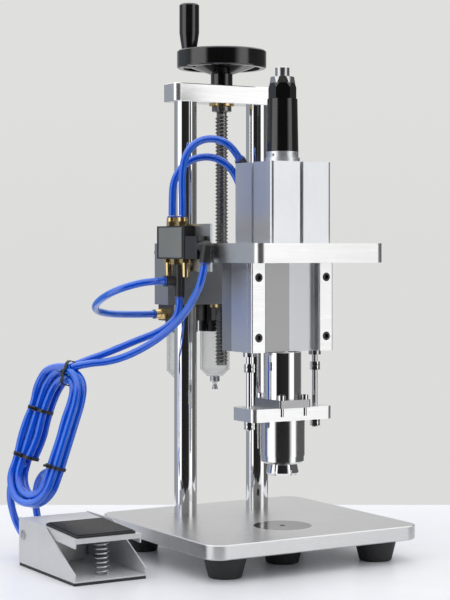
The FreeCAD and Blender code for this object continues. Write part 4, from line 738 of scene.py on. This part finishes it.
def add_coil(name, node, wire, turns):
    """A spring in the place of its node."""
    low, high = (Vector(corner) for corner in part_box(node))
    middle = (low + high) / 2
    reach = (high.x - low.x) / 2 - wire
    deselect()
    bpy.ops.mesh.primitive_circle_add(vertices=12, radius=wire, location=(reach, 0, low.z + wire),
                                      rotation=(math.pi / 2, 0, 0))
    spring = bpy.context.object
    bpy.ops.object.transform_apply(location=True, rotation=True, scale=True)
    add_modifier("SCREW", axis="Z", screw_offset=(high.z - low.z - 2 * wire) / turns, iterations=turns,
                 steps=40, render_steps=40, use_merge_vertices=False)
    close_ends()
    spring.location = (middle.x, middle.y, 0)
    spring = finish_piece(spring, name, "steel", smooth_angle=50)
    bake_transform(spring)
    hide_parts(node)


add_lead_screw()
add_tread_ribs()
add_hank_ties()
add_coil("pedal_coil", "pedal_spring", wire=0.0009, turns=8)
add_coil("plunger_coil", "plunger_spring", wire=0.0006, turns=5)


# Floor, and the wall behind it as the world
FLOOR_ACROSS = 0.42
FLOOR_NEAR = -0.34
FLOOR_FAR = 0.395
LIGHT = 2.3


def add_floor():
    deselect()
    bpy.ops.mesh.primitive_plane_add(size=1.0, location=(0, 0, 0))
    floor = bpy.context.object
    floor.name = "table_top"
    corners = [(-FLOOR_ACROSS, FLOOR_NEAR), (FLOOR_ACROSS, FLOOR_NEAR), (FLOOR_ACROSS, FLOOR_FAR),
               (-FLOOR_ACROSS, FLOOR_FAR)]
    for vertex, (across, away) in zip((0, 1, 3, 2), corners):
        place = RIGHT * across + AHEAD * away
        floor.data.vertices[vertex].co = (place.x, place.y, 0.0)
    made, tree, shader, where = start_material("paper_table")
    mark = use_group(tree, marks, where, Scale=3.0).outputs["Mask"]
    tree.links.new(colour_mix(tree, mark, (0.80, 0.82, 0.86, 1.0), (0.88, 0.89, 0.91, 1.0)),
                   shader.inputs["Base Color"])
    shader.inputs["Roughness"].default_value = 0.35
    floor.data.materials.append(made)


def add_world():
    """Light and dark bands round the machine, which the chrome shows as stripes, and a light above."""
    world = bpy.data.worlds.new("studio")
    scene.world = world
    world.use_nodes = True
    tree = world.node_tree
    tree.nodes.clear()
    where = new_node(tree, "ShaderNodeTexCoord").outputs["Generated"]

    def along(direction):
        node = new_node(tree, "ShaderNodeVectorMath", operation="DOT_PRODUCT")
        node.inputs[1].default_value = direction
        tree.links.new(where, node.inputs[0])
        return node.outputs["Value"]

    turn = math_node(tree, "ARCTAN2", along(RIGHT), along(-AHEAD))
    share = math_node(tree, "ADD", math_node(tree, "DIVIDE", turn, 2 * math.pi), 0.5)

    def at(degrees):
        return (degrees + 180) / 360

    stops = [(0.0, 0.30), (at(-165), 0.22), (at(-142), (0.09, 0.10, 0.115)), (at(-108), (0.15, 0.165, 0.19)),
             (at(-88), 0.12), (at(-80), 0.62), (at(-44), 0.62), (at(-36), 0.006), (at(34), 0.01),
             (at(50), 0.60), (at(68), 0.60), (at(75), 0.05), (at(145), 0.05), (1.0, 0.30)]
    around = ramp_node(tree, share, stops)
    height = along(UP)
    sky = ramp_node(tree, height, [(0.0, 0.0), (0.30, 0.0), (0.62, 1.0), (1.0, 1.0)])
    studio = colour_mix(tree, sky, around, (0.62, 0.62, 0.63, 1.0))
    wall_height = ramp_node(tree, height, [(0.0, (0.72, 0.72, 0.71)), (0.12, (0.74, 0.74, 0.72)),
                                           (1.0, (0.74, 0.74, 0.72))])
    lit = new_node(tree, "ShaderNodeBackground")
    lit.inputs["Strength"].default_value = LIGHT
    tree.links.new(studio, lit.inputs["Color"])
    seen = new_node(tree, "ShaderNodeBackground")
    seen.inputs["Strength"].default_value = 1.0
    tree.links.new(wall_height, seen.inputs["Color"])
    path = new_node(tree, "ShaderNodeLightPath")
    choose = new_node(tree, "ShaderNodeMixShader")
    tree.links.new(path.outputs["Is Camera Ray"], choose.inputs[0])
    tree.links.new(lit.outputs[0], choose.inputs[1])
    tree.links.new(seen.outputs[0], choose.inputs[2])
    output = new_node(tree, "ShaderNodeOutputWorld")
    tree.links.new(choose.outputs[0], output.inputs["Surface"])


add_floor()
add_world()
